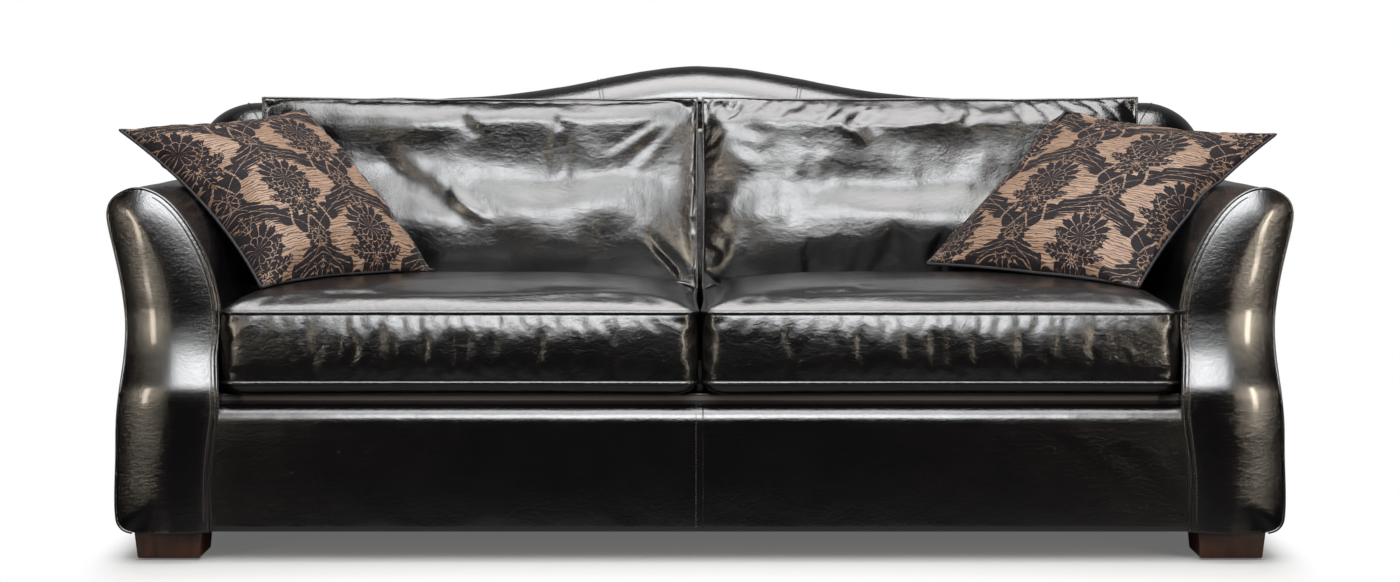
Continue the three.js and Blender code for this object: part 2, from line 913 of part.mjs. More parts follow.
const railReach = half - armWidth / 2;
addTo(
  frame,
  "front_rail_board",
  betweenArmBoards(
    [-railReach, boardFront, frameBottom],
    [railReach, boardFront + armBoardThickness, frontRailTop],
  ),
  "hardwood",
);
addTo(
  frame,
  "rear_rail_board",
  betweenArmBoards([-railReach, rearRailFront(), frameBottom], [railReach, boardRear, sideRailTop]),
  "hardwood",
);
addTo(frame, "crest_rail", crestRail(), "hardwood");
addTo(frame, "centre_back_post", backPost(0), "hardwood");

const postFront = rearRailFront() - clearance - postDepth;
const springRailFront = postFront - clearance - springRailThickness;
addTo(
  frame,
  "rear_spring_rail",
  block(
    [springRailInset - half, springRailFront, frontRailTop - springRailHeight],
    [half - springRailInset, springRailFront + springRailThickness, frontRailTop],
  ),
  "hardwood",
);
const stretcherFront = boardFront + armBoardThickness + clearance;
addTo(
  frame,
  "centre_stretcher",
  block(
    [-stretcherWidth / 2, stretcherFront, frameBottom],
    [stretcherWidth / 2, postFront - clearance, frameBottom + stretcherHeight],
  ),
  "hardwood",
);

const springFront = boardFront + armBoardThickness / 2;
const springLength = springRailFront + springRailThickness / 2 - springFront;
const springSeat = frontRailTop + springWire + clearance;
const springRise = deckTop - deckThickness - springWire - clearance - springSeat;
for (let i = 0; i < springCount; i++) {
  const x = springPitch * (i - (springCount - 1) / 2);
  const spring = seatSpring(springLength, springRise);
  addTo(frame, `seat_spring_${i + 1}`, spring, "steel", [x, springFront, springSeat]);
}

const boltPlaces = [];
for (const { name, side } of sides) {
  for (const { name: endName, end } of ends) {
    const x = side * footX;
    const y = end * -footY;
    boltPlaces.push([x, y, 0]);
    const label = `${endName}_${name}`;
    addTo(feet, `${label}_foot`, foot(), "walnut", [x, y, baseHeight]);
    addTo(feet, `${label}_glide`, glide(), "nylon", [x, y, 0]);
    addTo(feet, `${label}_foot_bolt`, footBolt(), "steel", [x, y, baseHeight]);
    const cornerX = sideRailX - clearance;
    const cornerY = end < 0 ? boardFront + armBoardThickness + clearance : rearRailFront() - clearance;
    const bolt = [footX - cornerX, y - cornerY, 0];
    const wedge = cornerBlock(bolt, end < 0);
    const turnedWedge = side > 0 ? wedge : mirrored(wedge);
    addTo(frame, `${label}_corner_block`, turnedWedge, "hardwood", [side * cornerX, cornerY, frameBottom]);
  }
}
addTo(upholstery, "dust_cover", dustCover(boltPlaces), "cambric");

const seatPlace = [seatWidth / 2 + seatGap, seatFront + seatDepth / 2, deckTop + clearance];
const seatSolid = seatCushion();
const backTilt = THREE.MathUtils.degToRad(backCushionTilt);
const backPlace = [
  backCushionWidth / 2 + seatGap,
  backFront - backCushionAhead,
  deckTop + seatWelt + seatBoxing + backCushionLift,
];
const padAhead = insideBackPad().translate([0, -clearance, 0]);
for (const { name, side } of sides) {
  const seatAt = [side * seatPlace[0], seatPlace[1], seatPlace[2]];
  const seatWorld = seatSolid.translate(seatAt);
  addTo(cushions, `${name}_seat_cushion`, seatSolid, "leather", seatAt);

  const backAt = [side * backPlace[0], backPlace[1], backPlace[2]];
  const upright = backCushionForm().rotate([-backCushionTilt, 0, 0]).translate(backAt);
  const seated = upright
    .subtract(seatWorld.translate([0, 0, clearance]))
    .subtract(padAhead)
    .subtract(armRoom(clearance));
  const local = seated.translate(backAt.map((value) => -value)).rotate([backCushionTilt, 0, 0]);
  addTo(cushions, `${name}_back_cushion`, local, "leather", backAt, -backTilt);

  const pillow = throwPillowForm(side, side > 0 ? rightPillowShares : leftPillowShares)
    .subtract(armRoom(clearance))
    .subtract(seatWorld.translate([0, 0, clearance]))
    .subtract(seated.translate([0, -clearance, clearance]));
  addTo(cushions, `${name}_throw_pillow`, pillow, "damask");
}

export default sofa;
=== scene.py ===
import math

import bmesh
import bpy
import numpy as np
from mathutils import Matrix, Vector, noise
from mathutils.bvhtree import BVHTree


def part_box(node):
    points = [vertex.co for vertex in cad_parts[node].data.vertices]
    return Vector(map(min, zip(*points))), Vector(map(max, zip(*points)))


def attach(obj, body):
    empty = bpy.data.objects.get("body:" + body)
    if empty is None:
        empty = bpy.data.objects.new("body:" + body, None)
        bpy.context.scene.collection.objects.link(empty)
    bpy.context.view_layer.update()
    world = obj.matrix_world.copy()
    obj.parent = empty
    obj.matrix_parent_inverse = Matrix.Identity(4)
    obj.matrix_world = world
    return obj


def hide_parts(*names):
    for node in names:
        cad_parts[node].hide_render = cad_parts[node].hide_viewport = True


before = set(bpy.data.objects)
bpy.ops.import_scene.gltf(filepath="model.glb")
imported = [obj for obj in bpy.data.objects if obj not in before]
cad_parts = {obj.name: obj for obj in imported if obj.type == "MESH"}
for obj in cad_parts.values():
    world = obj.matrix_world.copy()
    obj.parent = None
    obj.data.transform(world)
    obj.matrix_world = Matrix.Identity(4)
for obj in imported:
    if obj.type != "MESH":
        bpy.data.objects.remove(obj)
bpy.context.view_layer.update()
print("frame loaded")

frameBody = "sofa_frame"
sides = {"left": -1, "right": 1}


# Small sums that many pieces use

def ease(low, high, value):
    share = np.clip((value - low) / (high - low), 0, 1)
    return share * share * (3 - 2 * share)


def blendOf(a, b, share):
    return a + (b - a) * share


def splineThrough(points, perSpan):
    ends = [points[0], *points, points[-1]]
    line = []
    for a, b, c, d in zip(ends, ends[1:], ends[2:], ends[3:]):
        for i in range(perSpan):
            t = i / perSpan
            bend = 2 * a - 5 * b + 4 * c - d
            twist = 3 * b - a - 3 * c + d
            line.append((2 * b + (c - a) * t + bend * t ** 2 + twist * t ** 3) / 2)
    return np.array([*line, points[-1]])


def evenly(line, count):
    steps = np.linalg.norm(np.diff(line, axis=0), axis=1)
    run = np.concatenate([[0], np.cumsum(steps)])
    marks = np.linspace(0, run[-1], count + 1)
    return np.column_stack([np.interp(marks, run, column) for column in line.T])


def eased(line, passes):
    line = line.copy()
    for _ in range(passes):
        line[1:-1] = (line[:-2] + 2 * line[1:-1] + line[2:]) / 4
    return line


def pointOn(line, share):
    at = min(max(share, 0), 1) * (len(line) - 1)
    i = min(int(at), len(line) - 2)
    return blendOf(line[i], line[i + 1], at - i)


def waver(place, size, seed):
    return noise.noise(Vector(place) / size + Vector((seed, 2.3 * seed, 0)))


# Each wave holds its height, its size and a seed, which another seed can shift.
def wavers(place, waves, seed=0):
    return sum(height * waver(place, size, number + seed) for height, size, number in waves)


# Camera

view = {"lens": 72.3, "sensor": 36.0, "place": (0, -5.675, 0.902), "pitch": -4.29}


def addCamera():
    data = bpy.data.cameras.new("camera")
    data.lens = view["lens"]
    data.sensor_width = view["sensor"]
    camera = bpy.data.objects.new("camera", data)
    camera.location = view["place"]
    camera.rotation_euler = (math.radians(90 + view["pitch"]), 0, 0)
    bpy.context.scene.collection.objects.link(camera)
    bpy.context.scene.camera = camera
    bpy.context.scene.view_settings.view_transform = "Standard"


addCamera()
print("camera placed")


# Shader sums: a socket that adds Math nodes when it is used in an expression

class Signal:
    def __init__(self, finish, socket):
        self.finish = finish
        self.socket = socket

    def maths(self, operation, *others):
        values = dict(enumerate((self, *others)))
        return self.finish.node("ShaderNodeMath", {"operation": operation}, values)

    def clamped(self):
        return self.finish.node("ShaderNodeClamp", None, {"Value": self})

    def most(self, other):
        return self.maths("MAXIMUM", other)

    def __abs__(self):
        return self.maths("ABSOLUTE")

    def __gt__(self, other):
        return self.maths("GREATER_THAN", other)

    def __lt__(self, other):
        return self.maths("LESS_THAN", other)

    def __add__(self, other):
        return self.maths("ADD", other)

    def __sub__(self, other):
        return self.maths("SUBTRACT", other)

    def __rsub__(self, other):
        return self * -1 + other

    def __mul__(self, other):
        return self.maths("MULTIPLY", other)

    def __truediv__(self, other):
        return self.maths("DIVIDE", other)

    def __pow__(self, other):
        return self.maths("POWER", other)

    __radd__ = __add__
    __rmul__ = __mul__


class Finish:
    def __init__(self, name, tree=None):
        if tree is None:
            self.material = bpy.data.materials.new(name)
            self.material.use_nodes = True
            tree = self.material.node_tree
        self.tree = tree
        self.tree.nodes.clear()

    def node(self, kind, settings=None, inputs=None, out=0):
        made = self.tree.nodes.new(kind)
        for name, value in (settings or {}).items():
            setattr(made, name, value)
        for name, value in (inputs or {}).items():
            if isinstance(value, Signal):
                self.tree.links.new(value.socket, made.inputs[name])
            elif value is not None:
                made.inputs[name].default_value = value
        return Signal(self, made.outputs[out])

    def place(self):
        return self.node("ShaderNodeTexCoord", out="Object")

    def split(self, vector):
        made = self.node("ShaderNodeSeparateXYZ", None, {"Vector": vector}).socket.node
        return [Signal(self, socket) for socket in made.outputs]

    def stretched(self, vector, scale, turn=(0, 0, 0)):
        return self.node("ShaderNodeMapping", None, {"Vector": vector, "Scale": scale, "Rotation": turn})

    def noise(self, vector, scale, detail=3.0, rough=0.5, distortion=0.0):
        inputs = {"Vector": vector, "Scale": scale, "Detail": detail, "Roughness": rough,
                  "Distortion": distortion}
        return self.node("ShaderNodeTexNoise", None, inputs)

    def cells(self, vector, scale, feature="F1"):
        return self.node("ShaderNodeTexVoronoi", {"feature": feature}, {"Vector": vector, "Scale": scale})

    def between(self, value, low, high):
        kind = {"interpolation_type": "SMOOTHSTEP"}
        return self.node("ShaderNodeMapRange", kind, {"Value": value, "From Min": low, "From Max": high})

    def mixed(self, mask, a, b):
        return self.node("ShaderNodeMix", {"data_type": "RGBA"}, {0: mask, 6: a, 7: b}, out=2)

    def bump(self, height, distance, strength=1.0, normal=None):
        inputs = {"Height": height, "Distance": distance, "Strength": strength, "Normal": normal}
        return self.node("ShaderNodeBump", None, inputs)

    def surface(self, **sockets):
        inputs = {name.replace("_", " "): value for name, value in sockets.items()}
        return self.node("ShaderNodeBsdfPrincipled", None, inputs)

    def show(self, shader, kind="ShaderNodeOutputMaterial"):
        made = self.tree.nodes.new(kind)
        self.tree.links.new(shader.socket, made.inputs["Surface"])
        return self


# Leather, shared by the tight covers and the loose cushions

leatherLook = {"colour": (0.0006, 0.0005, 0.0006, 1), "worn": (0.0011, 0.0009, 0.0009, 1), "patches": 9,
               "pebbles": 720, "fine": 300, "mottled": 120, "hairlines": 60, "wrinkles": 34,
               "grainDepth": 0.00042, "hairlineDepth": 0.00005, "mottledDepth": 0.00055,
               "creaseDepth": 0.0012, "roughness": 0.075, "patchRoughness": 0.10, "fineRoughness": 0.06,
               "specular": 0.42, "coat": 0.24, "coatRoughness": 0.10}


# Crease is the share of the creases' depth. A softened leather is duller, with less coat.
def leatherFinish(name, crease, soften=0.0):
    look = leatherLook
    finish = Finish(name)
    place = finish.place()
    patches = finish.noise(place, look["patches"], 4, 0.6)
    pebbles = finish.cells(place, look["pebbles"])
    fine = finish.noise(place, look["fine"], 4, 0.7)
    mottled = finish.noise(place, look["mottled"], 3, 0.65)
    lines = finish.cells(place, look["hairlines"], "DISTANCE_TO_EDGE")
    wrinkled = finish.noise(finish.stretched(place, (1, 1, 1.6)), look["wrinkles"], 4, 0.62, 0.6)
    grain = finish.bump(pebbles * 0.25 + fine, look["grainDepth"])
    hairline = finish.bump(finish.between(lines, 0.0, 0.05) * fine, look["hairlineDepth"], normal=grain)
    tanned = finish.bump(mottled, look["mottledDepth"], normal=hairline)
    normal = finish.bump(wrinkled, look["creaseDepth"] * crease, normal=tanned)
    roughness = patches * look["patchRoughness"] + fine * look["fineRoughness"]
    roughness = roughness + (look["roughness"] + soften)
    colour = finish.mixed(patches, look["colour"], look["worn"])
    shader = finish.surface(Base_Color=colour, Roughness=roughness, Specular_IOR_Level=look["specular"],
                            Coat_Weight=look["coat"] - soften * 2, Normal=normal,
                            Coat_Roughness=look["coatRoughness"] + soften)
    return finish.show(shader).material


def plainFinish(name, colour, other, roughness, scale, stretch=(1, 1, 1), depth=0.0002, metallic=0.0,
                shine=0.5):
    finish = Finish(name)
    grain = finish.noise(finish.stretched(finish.place(), stretch), scale, 4, 0.6)
    shade = finish.mixed(grain, (*colour, 1), (*other, 1))
    shader = finish.surface(Base_Color=shade, Metallic=metallic, Specular_IOR_Level=shine,
                            Roughness=grain * 0.2 + roughness, Normal=finish.bump(grain, depth))
    return finish.show(shader).material


walnutLook = {"dark": (0.0080, 0.0026, 0.0011, 1), "light": (0.030, 0.0092, 0.0034, 1),
              "pore": (0.012, 0.004, 0.0025, 1), "poreDepth": 0.00015, "roughness": 0.30, "coat": 0.1,
              "coatRoughness": 0.2, "specular": 0.3}


def walnutFinish():
    look = walnutLook
    finish = Finish("walnut")
    place = finish.place()
    swirl = finish.noise(finish.stretched(place, (9, 9, 1.6)), 4, 3, 0.55, 0.8)
    pores = finish.noise(finish.stretched(place, (60, 60, 3)), 9, 3, 0.6)
    base = finish.mixed(finish.between(swirl, 0.3, 0.7), look["dark"], look["light"])
    colour = finish.mixed(finish.between(pores, 0.48, 0.62), base, look["pore"])
    shader = finish.surface(Base_Color=colour, Roughness=pores * 0.2 + look["roughness"],
                            Coat_Weight=look["coat"], Coat_Roughness=look["coatRoughness"],
                            Specular_IOR_Level=look["specular"], Normal=finish.bump(pores, look["poreDepth"]))
    return finish.show(shader).material


leather = leatherFinish("leather", 0.12)
softLeather = leatherFinish("cushion_leather", 1.0, 0.065)
thread = plainFinish("thread", (0.02, 0.018, 0.017), (0.05, 0.045, 0.04), 0.45, 900)
walnut = walnutFinish()
hardwood = plainFinish("hardwood", (0.5, 0.32, 0.16), (0.36, 0.21, 0.1), 0.5, 6, (8, 8, 1))
steel = plainFinish("steel", (0.45, 0.46, 0.48), (0.38, 0.39, 0.4), 0.25, 60, metallic=1.0)
nylon = plainFinish("nylon", (0.02, 0.02, 0.021), (0.028, 0.028, 0.03), 0.4, 300)
cambric = plainFinish("cambric", (0.018, 0.018, 0.018), (0.03, 0.03, 0.03), 0.75, 1500)
platformCloth = plainFinish("platform_cloth", (0.02, 0.019, 0.018), (0.035, 0.033, 0.032), 0.75, 1100)
print("finishes mixed")


# Making pieces

making = {"weld": 0.00005, "wall": 0.004}


def lifted(bm, name, finish, body=frameBody, weld=making["weld"], turned=True):
    bmesh.ops.remove_doubles(bm, verts=bm.verts, dist=weld)
    if turned:
        bmesh.ops.recalc_face_normals(bm, faces=bm.faces)
    mesh = bpy.data.meshes.new(name)
    bm.to_mesh(mesh)
    bm.free()
    mesh.shade_smooth()
    piece = bpy.data.objects.new(name, mesh)
    bpy.context.scene.collection.objects.link(piece)
    mesh.materials.append(finish)
    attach(piece, body)
    return piece


# Turns a whole piece so that its face nearest a place looks the given way.
def faceAs(piece, place, way):
    faces = piece.data.polygons
    near = min(faces, key=lambda face: (face.center - Vector(place)).length_squared)
    if near.normal.dot(Vector(way)) < 0:
        piece.data.flip_normals()


def modified(piece, kind, **settings):
    modifier = piece.modifiers.new(kind.lower(), kind)
    for name, value in settings.items():
        setattr(modifier, name, value)
    return modifier


# A grid bent to a form and given a wall, in place of a node. The face nearest the spot looks the given way.
def leatherSheet(name, grid, place, spot, way, node, wall=making["wall"], smoothing=0):
    bm = bmesh.new()
    columns, rows = grid
    for vert in bmesh.ops.create_grid(bm, x_segments=columns, y_segments=rows, size=0.5)["verts"]:
        vert.co = Vector(place(vert.co.x + 0.5, vert.co.y + 0.5))
    inside = [vert for vert in bm.verts if not vert.is_boundary]
    for _ in range(smoothing):
        bmesh.ops.smooth_vert(bm, verts=inside, factor=0.5, use_axis_y=True)
    piece = lifted(bm, name, leather, turned=False)
    faceAs(piece, spot, way)
    modified(piece, "SOLIDIFY", thickness=wall, offset=-1)
    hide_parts(node)


def cordOf(name, points, radius, finish=leather, body=frameBody, closed=False):
    data = bpy.data.curves.new(name, "CURVE")
    data.dimensions = "3D"
    data.bevel_depth = radius
    data.bevel_resolution = 2
    data.use_fill_caps = not closed
    run = data.splines.new("POLY")
    run.points.add(len(points) - 1)
    for point, place in zip(run.points, points):
        point.co = (*place, 1)
    run.use_cyclic_u = closed
    run.use_smooth = True
    data.materials.append(finish)
    piece = bpy.data.objects.new(name, data)
    bpy.context.scene.collection.objects.link(piece)
    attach(piece, body)


stitch = {"pitch": 0.0062, "length": 0.0042, "radius": 0.00055, "weld": 0.000001}


def stitchesAlong(name, lines):
    bm = bmesh.new()
    for line in lines:
        run = np.linalg.norm(np.diff(line, axis=0), axis=1).sum()
        marks = evenly(np.array(line), max(int(run / stitch["pitch"]), 2))
        for a, b in zip(marks, marks[1:]):
            way = Vector(b - a).normalized()
            turn = way.to_track_quat("Z", "Y").to_matrix().to_4x4()
            size = Matrix.Diagonal((stitch["radius"], stitch["radius"], stitch["length"] / 2, 1))
            where = Matrix.Translation((a + b) / 2) @ turn @ size
            bmesh.ops.create_icosphere(bm, subdivisions=1, radius=1, matrix=where)
    lifted(bm, name, thread, weld=stitch["weld"])


# Arms: a padded facing inside a welt, and the leather that runs from it to the rear

arm = {"width": 0.209, "foot": 0.014, "footRound": 0.022, "setBack": 0.040, "setCurve": 1.7,
       "kneeBottom": 0.327, "kneeTop": 0.475, "kneeBend": 0.012, "crown": 0.021, "crownReach": 0.098,
       "crownCurve": (2.1, 0.88), "facingShare": 0.494, "facingWall": 0.0025,
       "facingWaves": ((0.0012, 0.07, 9),), "sleeveStart": 0.002, "swellFront": 0.12, "swellRear": 0.1,
       "padding": 0.002, "bulge": 0.009, "bulgeFoot": 0.1, "bulgeTop": (0.28, 0.42),
       "sleeveWaves": ((0.0018, 0.16, 3),), "tuck": 0.0015, "tuckReach": 0.012, "weltRadius": 0.0028,
       "secondRadius": 0.00154}
# Shares of the arm's width, in from its outermost place, and of its height.
armOuterShares = [(0.11, 0), (0.08, 0.04), (0.078, 0.12), (0.092, 0.22), (0.1, 0.33), (0.135, 0.43),
                  (0.16, 0.53), (0.16, 0.62), (0.125, 0.72), (0.07, 0.81), (0.015, 0.89), (0, 0.935),
                  (0.035, 0.966), (0.12, 0.984)]
armTopShares = (0.25, 1)
armInnerShares = [(0.914, 0), (0.914, 0.08), (0.92, 0.17), (0.95, 0.26), (0.99, 0.35), (0.978, 0.44),
                  (0.962, 0.52), (0.988, 0.6), (0.975, 0.67), (0.915, 0.755), (0.82, 0.83), (0.7, 0.897),
                  (0.56, 0.953), (0.41, 0.988)]
armLow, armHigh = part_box("right_arm_cover")
panelLow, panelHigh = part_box("right_arm_front_panel")
armFoot = panelLow.y + arm["foot"]


# How far forward the facing stands: upright to the knee, then set back above it.
def armFront(height):
    soft = arm["kneeBend"]
    rise = height - arm["kneeBottom"]
    rise = (rise + math.sqrt(rise * rise + soft * soft)) / 2
    share = min(rise / (arm["kneeTop"] - arm["kneeBottom"]), 1)
    return armFoot + arm["setBack"] * (1 - (1 - share) ** arm["setCurve"])


def armOutline(count):
    rise = armHigh.z - armLow.z
    shares = [*armOuterShares, armTopShares, *reversed(armInnerShares)]
    places = np.array([(armHigh.x - arm["width"] * a, armLow.z + rise * up) for a, up in shares])
    line = evenly(splineThrough(places, 12), count)
    line = eased(line, 30)
    reach = arm["footRound"]
    for point in line[: count // 4]:
        short = max(reach - (point[1] - armLow.z), 0)
        point[0] -= reach - math.sqrt(max(reach ** 2 - short ** 2, 0))
    return evenly(line, count)


armLine = armOutline(400)


def outwards(line):
    way = np.gradient(line, axis=0)
    way /= np.linalg.norm(way, axis=1)[:, None]
    return np.column_stack([way[:, 1], -way[:, 0]])


armOut = outwards(armLine)


def armSleeve(label, side):
    rearY = armHigh.y

    def place(across, back):
        x, z = pointOn(armLine, across)
        normal = pointOn(armOut, across)
        start = armFront(z) + arm["sleeveStart"]
        deep = start + (rearY - start) * back
        swell = ease(0, arm["swellFront"], deep - start) * (1 - ease(-arm["swellRear"], 0, deep - rearY))
        low = 1 - ease(*arm["bulgeTop"], z)
        bulge = arm["bulge"] * low * (across < 0.5) * ease(armLow.z, arm["bulgeFoot"], z)
        grow = swell * (arm["padding"] + bulge)
        grow += wavers((x * side, deep, z), arm["sleeveWaves"], side) * swell
        grow -= (1 - ease(0, arm["tuckReach"], deep - start)) * arm["tuck"]
        return (side * (x + normal[0] * grow), deep, z + normal[1] * grow)

    outermost = (side * armHigh.x, 0, 0.2)
    leatherSheet(f"{label}_arm_leather", (260, 90), place, outermost, (side, 0, 0), f"{label}_arm_cover")


def armFacing(label, side):
    edge = armLine[::2]
    steep, full = arm["crownCurve"]

    def place(across, up):
        share = up * arm["facingShare"]
        outer, inner = pointOn(armLine, share), pointOn(armLine, 1 - share)
        x, z = blendOf(outer, inner, across)
        away = min(np.hypot(*(edge - (x, z)).T).min() / arm["crownReach"], 1)
        crown = arm["crown"] * (1 - (1 - away) ** steep) ** full
        crown += wavers((x * side, z, 0), arm["facingWaves"], side) * away
        return (side * x, armFront(z) - crown, z)

    middle = (side * (armHigh.x - arm["width"] / 2), armFoot, 0.3)
    leatherSheet(f"{label}_arm_facing", (44, 170), place, middle, (0, -1, 0), f"{label}_arm_front_panel",
                 arm["facingWall"], smoothing=6)


# Places along the outline, grown outwards and set back, between two shares of its length.
def alongArm(grow, back, start=0.0, end=1.0, count=260):
    rows = []
    for share in np.linspace(start, end, count):
        x, z = pointOn(armLine, share) + pointOn(armOut, share) * grow
        rows.append((x, armFront(z) + back, z))
    return np.array(rows)


armSeams = {"welt": (0.0008, -0.0004), "second": (-0.0078, -0.0042, 0.52, 0.985, 180),
            "insideStitches": (-0.0112, -0.0062, 0.53, 0.985, 180),
            "outsideStitches": (0.0022, 0.0105, 0.53, 0.985, 180)}


def armPieces(label, side):
    armSleeve(label, side)
    armFacing(label, side)
    welt, second, *rows = (alongArm(*seam) * (side, 1, 1) for seam in armSeams.values())
    cordOf(f"{label}_arm_welt", welt, arm["weltRadius"])
    cordOf(f"{label}_arm_second_welt", second, arm["secondRadius"])
    stitchesAlong(f"{label}_arm_stitches", rows)


for label, side in sides.items():
    armPieces(label, side)
print("arms made")


# Front rail: tight leather over a padded nose, with a felled seam at its middle

rail = {"nose": 0.040, "noseHeight": 0.032, "drop": 0.012, "dropReach": 0.10, "hem": 0.009,
        "waves": ((0.0011, 0.11, 5), (0.00055, 0.045, 8)), "wavesIn": 0.05, "wavesUp": 0.03,
        "seam": 0.0045, "seamMiddle": 0.0035, "seamDip": 0.0011, "seamFrom": 0.15, "seamReach": 0.02,
        "stitchRow": -0.0075, "cordRow": 0.0055, "rowFrom": 0.25, "rowOut": 0.0006, "rowFoot": 0.006,
        "rowIn": 0.06, "cordRadius": 0.0011}
railLow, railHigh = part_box("front_rail_cover")


def railProfile():
    nose, tall, hem = rail["nose"], rail["noseHeight"], rail["hem"]
    front, top, foot = railLow.y, railHigh.z, railLow.z
    line = [(railHigh.y, top), (front + rail["dropReach"], top)]
    top -= rail["drop"]
    for i in range(1, 13):
        turn = math.radians(90 * i / 12)
        line.append((front + nose * (1 - math.sin(turn)), top - tall * (1 - math.cos(turn))))
    line.append((front, foot + hem))
    for i in range(1, 7):
        turn = math.radians(90 * i / 6)
        line.append((front + hem * (1 - math.cos(turn)), foot + hem * (1 - math.sin(turn))))
    line.append((railHigh.y, foot))
    return evenly(np.array(line), 300)


def frontRail():
    profile = railProfile()

    def place(along, turn):
        x = blendOf(railLow.x, railHigh.x, along)
        y, z = pointOn(profile, turn)
        face = ease(0.0, rail["wavesIn"], railHigh.y - y) * ease(railLow.z, railLow.z + rail["wavesUp"], z)
        y += wavers((x, z, 0), rail["waves"]) * face
        dip = 1 - ease(0, rail["seam"], abs(abs(x) - rail["seamMiddle"]))
        y += rail["seamDip"] * dip * (turn > rail["seamFrom"]) * (abs(x) < rail["seamReach"])
        return (x, y, z)

    leatherSheet("rail_leather", (540, 88), place, (0.3, railLow.y, 0.2), (0, -1, 0), "front_rail_cover")
    lowest, deepest = railLow.z + rail["rowFoot"], railLow.y + rail["rowIn"]
    shown = [(y, z) for y, z in profile[int(len(profile) * rail["rowFrom"]):] if z > lowest and y < deepest]
    rows = (rail["stitchRow"], rail["cordRow"])
    stitched, corded = ([(x, y - rail["rowOut"], z) for y, z in shown] for x in rows)
    stitchesAlong("rail_stitches", [stitched])
    cordOf("rail_seam", corded, rail["cordRadius"])


frontRail()
print("front rail made")


# Back: a round roll over the camel crest, a tight inside back and a flat outside back

back = {"roll": 0.080, "shoulder": 0.131, "crestRise": 0.079, "crestSpread": 0.310, "sideFoot": 0.672,
        "waves": ((0.0016, 0.13, 2), (0.0007, 0.05, 4)), "seamAt": 0.216, "seamHalf": 0.0034,
        "seamRadius": 0.0011, "seamOut": 0.0005, "shoulderSeam": (0.972, 0.925), "shoulderRadius": 0.0012,
        "shoulderOut": 0.0003, "weltRadius": 0.003, "weltOut": 0.0005, "padFoot": 0.048, "padKnee": 0.180,
        "padTop": 0.490, "padEdge": 0.05, "padWaves": ((0.0015, 0.1, 7),)}
plates = {"outsideBack": {"thickness": 0.009, "edge": 0.003}, "armEnd": {"thickness": 0.006, "edge": 0.002},
          "insideTop": {"thickness": 0.004, "edge": 0.0005}, "armEndOut": 0.0015, "insideTopIn": 0.004,
          "insideTopFoot": 0.62}
rollLow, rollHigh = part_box("back_cover")
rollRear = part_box("outside_back_panel")[1].y
rollMiddle = (rollLow.y + rollRear) / 2
rollDeep = (rollRear - rollLow.y) / 2
shoulderTop = rollHigh.z - back["crestRise"]


def crestHeight(x):
    return shoulderTop + back["crestRise"] / math.cosh(x / back["crestSpread"]) ** 2


def rollOutline(count, foot):
    half, radius = rollHigh.x, back["shoulder"]
    reach = half - radius
    line = [(half, foot)]
    for i in range(25):
        turn = math.radians(90 * i / 24)
        x = reach + radius * math.cos(turn)
        line.append((x, crestHeight(x) - radius * (1 - math.sin(turn))))
    line += [(x, crestHeight(x)) for x in np.linspace(reach, -reach, 160)[1:-1]]
    line += [(-x, z) for x, z in reversed(line[:26])]
    return eased(evenly(np.array(line), count), 6)


rollLine = rollOutline(600, back["sideFoot"])
rollOut = outwards(rollLine)


def rollPoint(across, over, grow=0.0):
    x, z = pointOn(rollLine, across)
    nx, nz = pointOn(rollOut, across)
    turn = math.pi * over
    inset = back["roll"] * (1 - math.sin(turn)) - grow * math.sin(turn)
    y = rollMiddle - (rollDeep + grow) * math.cos(turn)
    return np.array((x - nx * inset, y, z - nz * inset))


def rollShare(x):
    middle = slice(16, -16)
    return np.interp(-x, -rollLine[middle, 0], np.linspace(0, 1, len(rollLine))[middle])


def backRoll():
    def place(across, over):
        grow = wavers(rollPoint(across, over), back["waves"])
        return rollPoint(across, over, grow * math.sin(math.pi * over))

    crest = (0, rollMiddle, rollHigh.z)
    leatherSheet("back_roll", (460, 48), place, crest, (0, 0, 1), "back_cover")
    overs = np.linspace(0.04, 0.96, 60)
    for label, side in sides.items():
        for name, shift in {"outer": -back["seamHalf"], "inner": back["seamHalf"]}.items():
            share = rollShare(side * back["seamAt"] + shift)
            run = [rollPoint(share, over, back["seamOut"]) for over in overs]
            cordOf(f"{label}_crest_seam_{name}", run, back["seamRadius"])
        top, low = back["shoulderSeam"]
        shares = [rollShare(side * blendOf(low, top, ease(0, 0.5, over))) for over in overs]
        run = [rollPoint(share, over, back["shoulderOut"]) for share, over in zip(shares, overs)]
        cordOf(f"{label}_shoulder_seam", run, back["shoulderRadius"])


def plateOf(name, outline, y, thickness, edge):
    bm = bmesh.new()
    ring = bmesh.ops.create_circle(bm, segments=len(outline), radius=1, cap_ends=True)["verts"]
    for vert, (x, z) in zip(ring, outline):
        vert.co = (x, y, z)
    piece = lifted(bm, name, leather, turned=False)
    faceAs(piece, (0, y, 0.5), (0, 1, 0))
    modified(piece, "SOLIDIFY", thickness=thickness, offset=-1)
    modified(piece, "BEVEL", width=edge, segments=3, limit_method="ANGLE", harden_normals=True)
    return piece


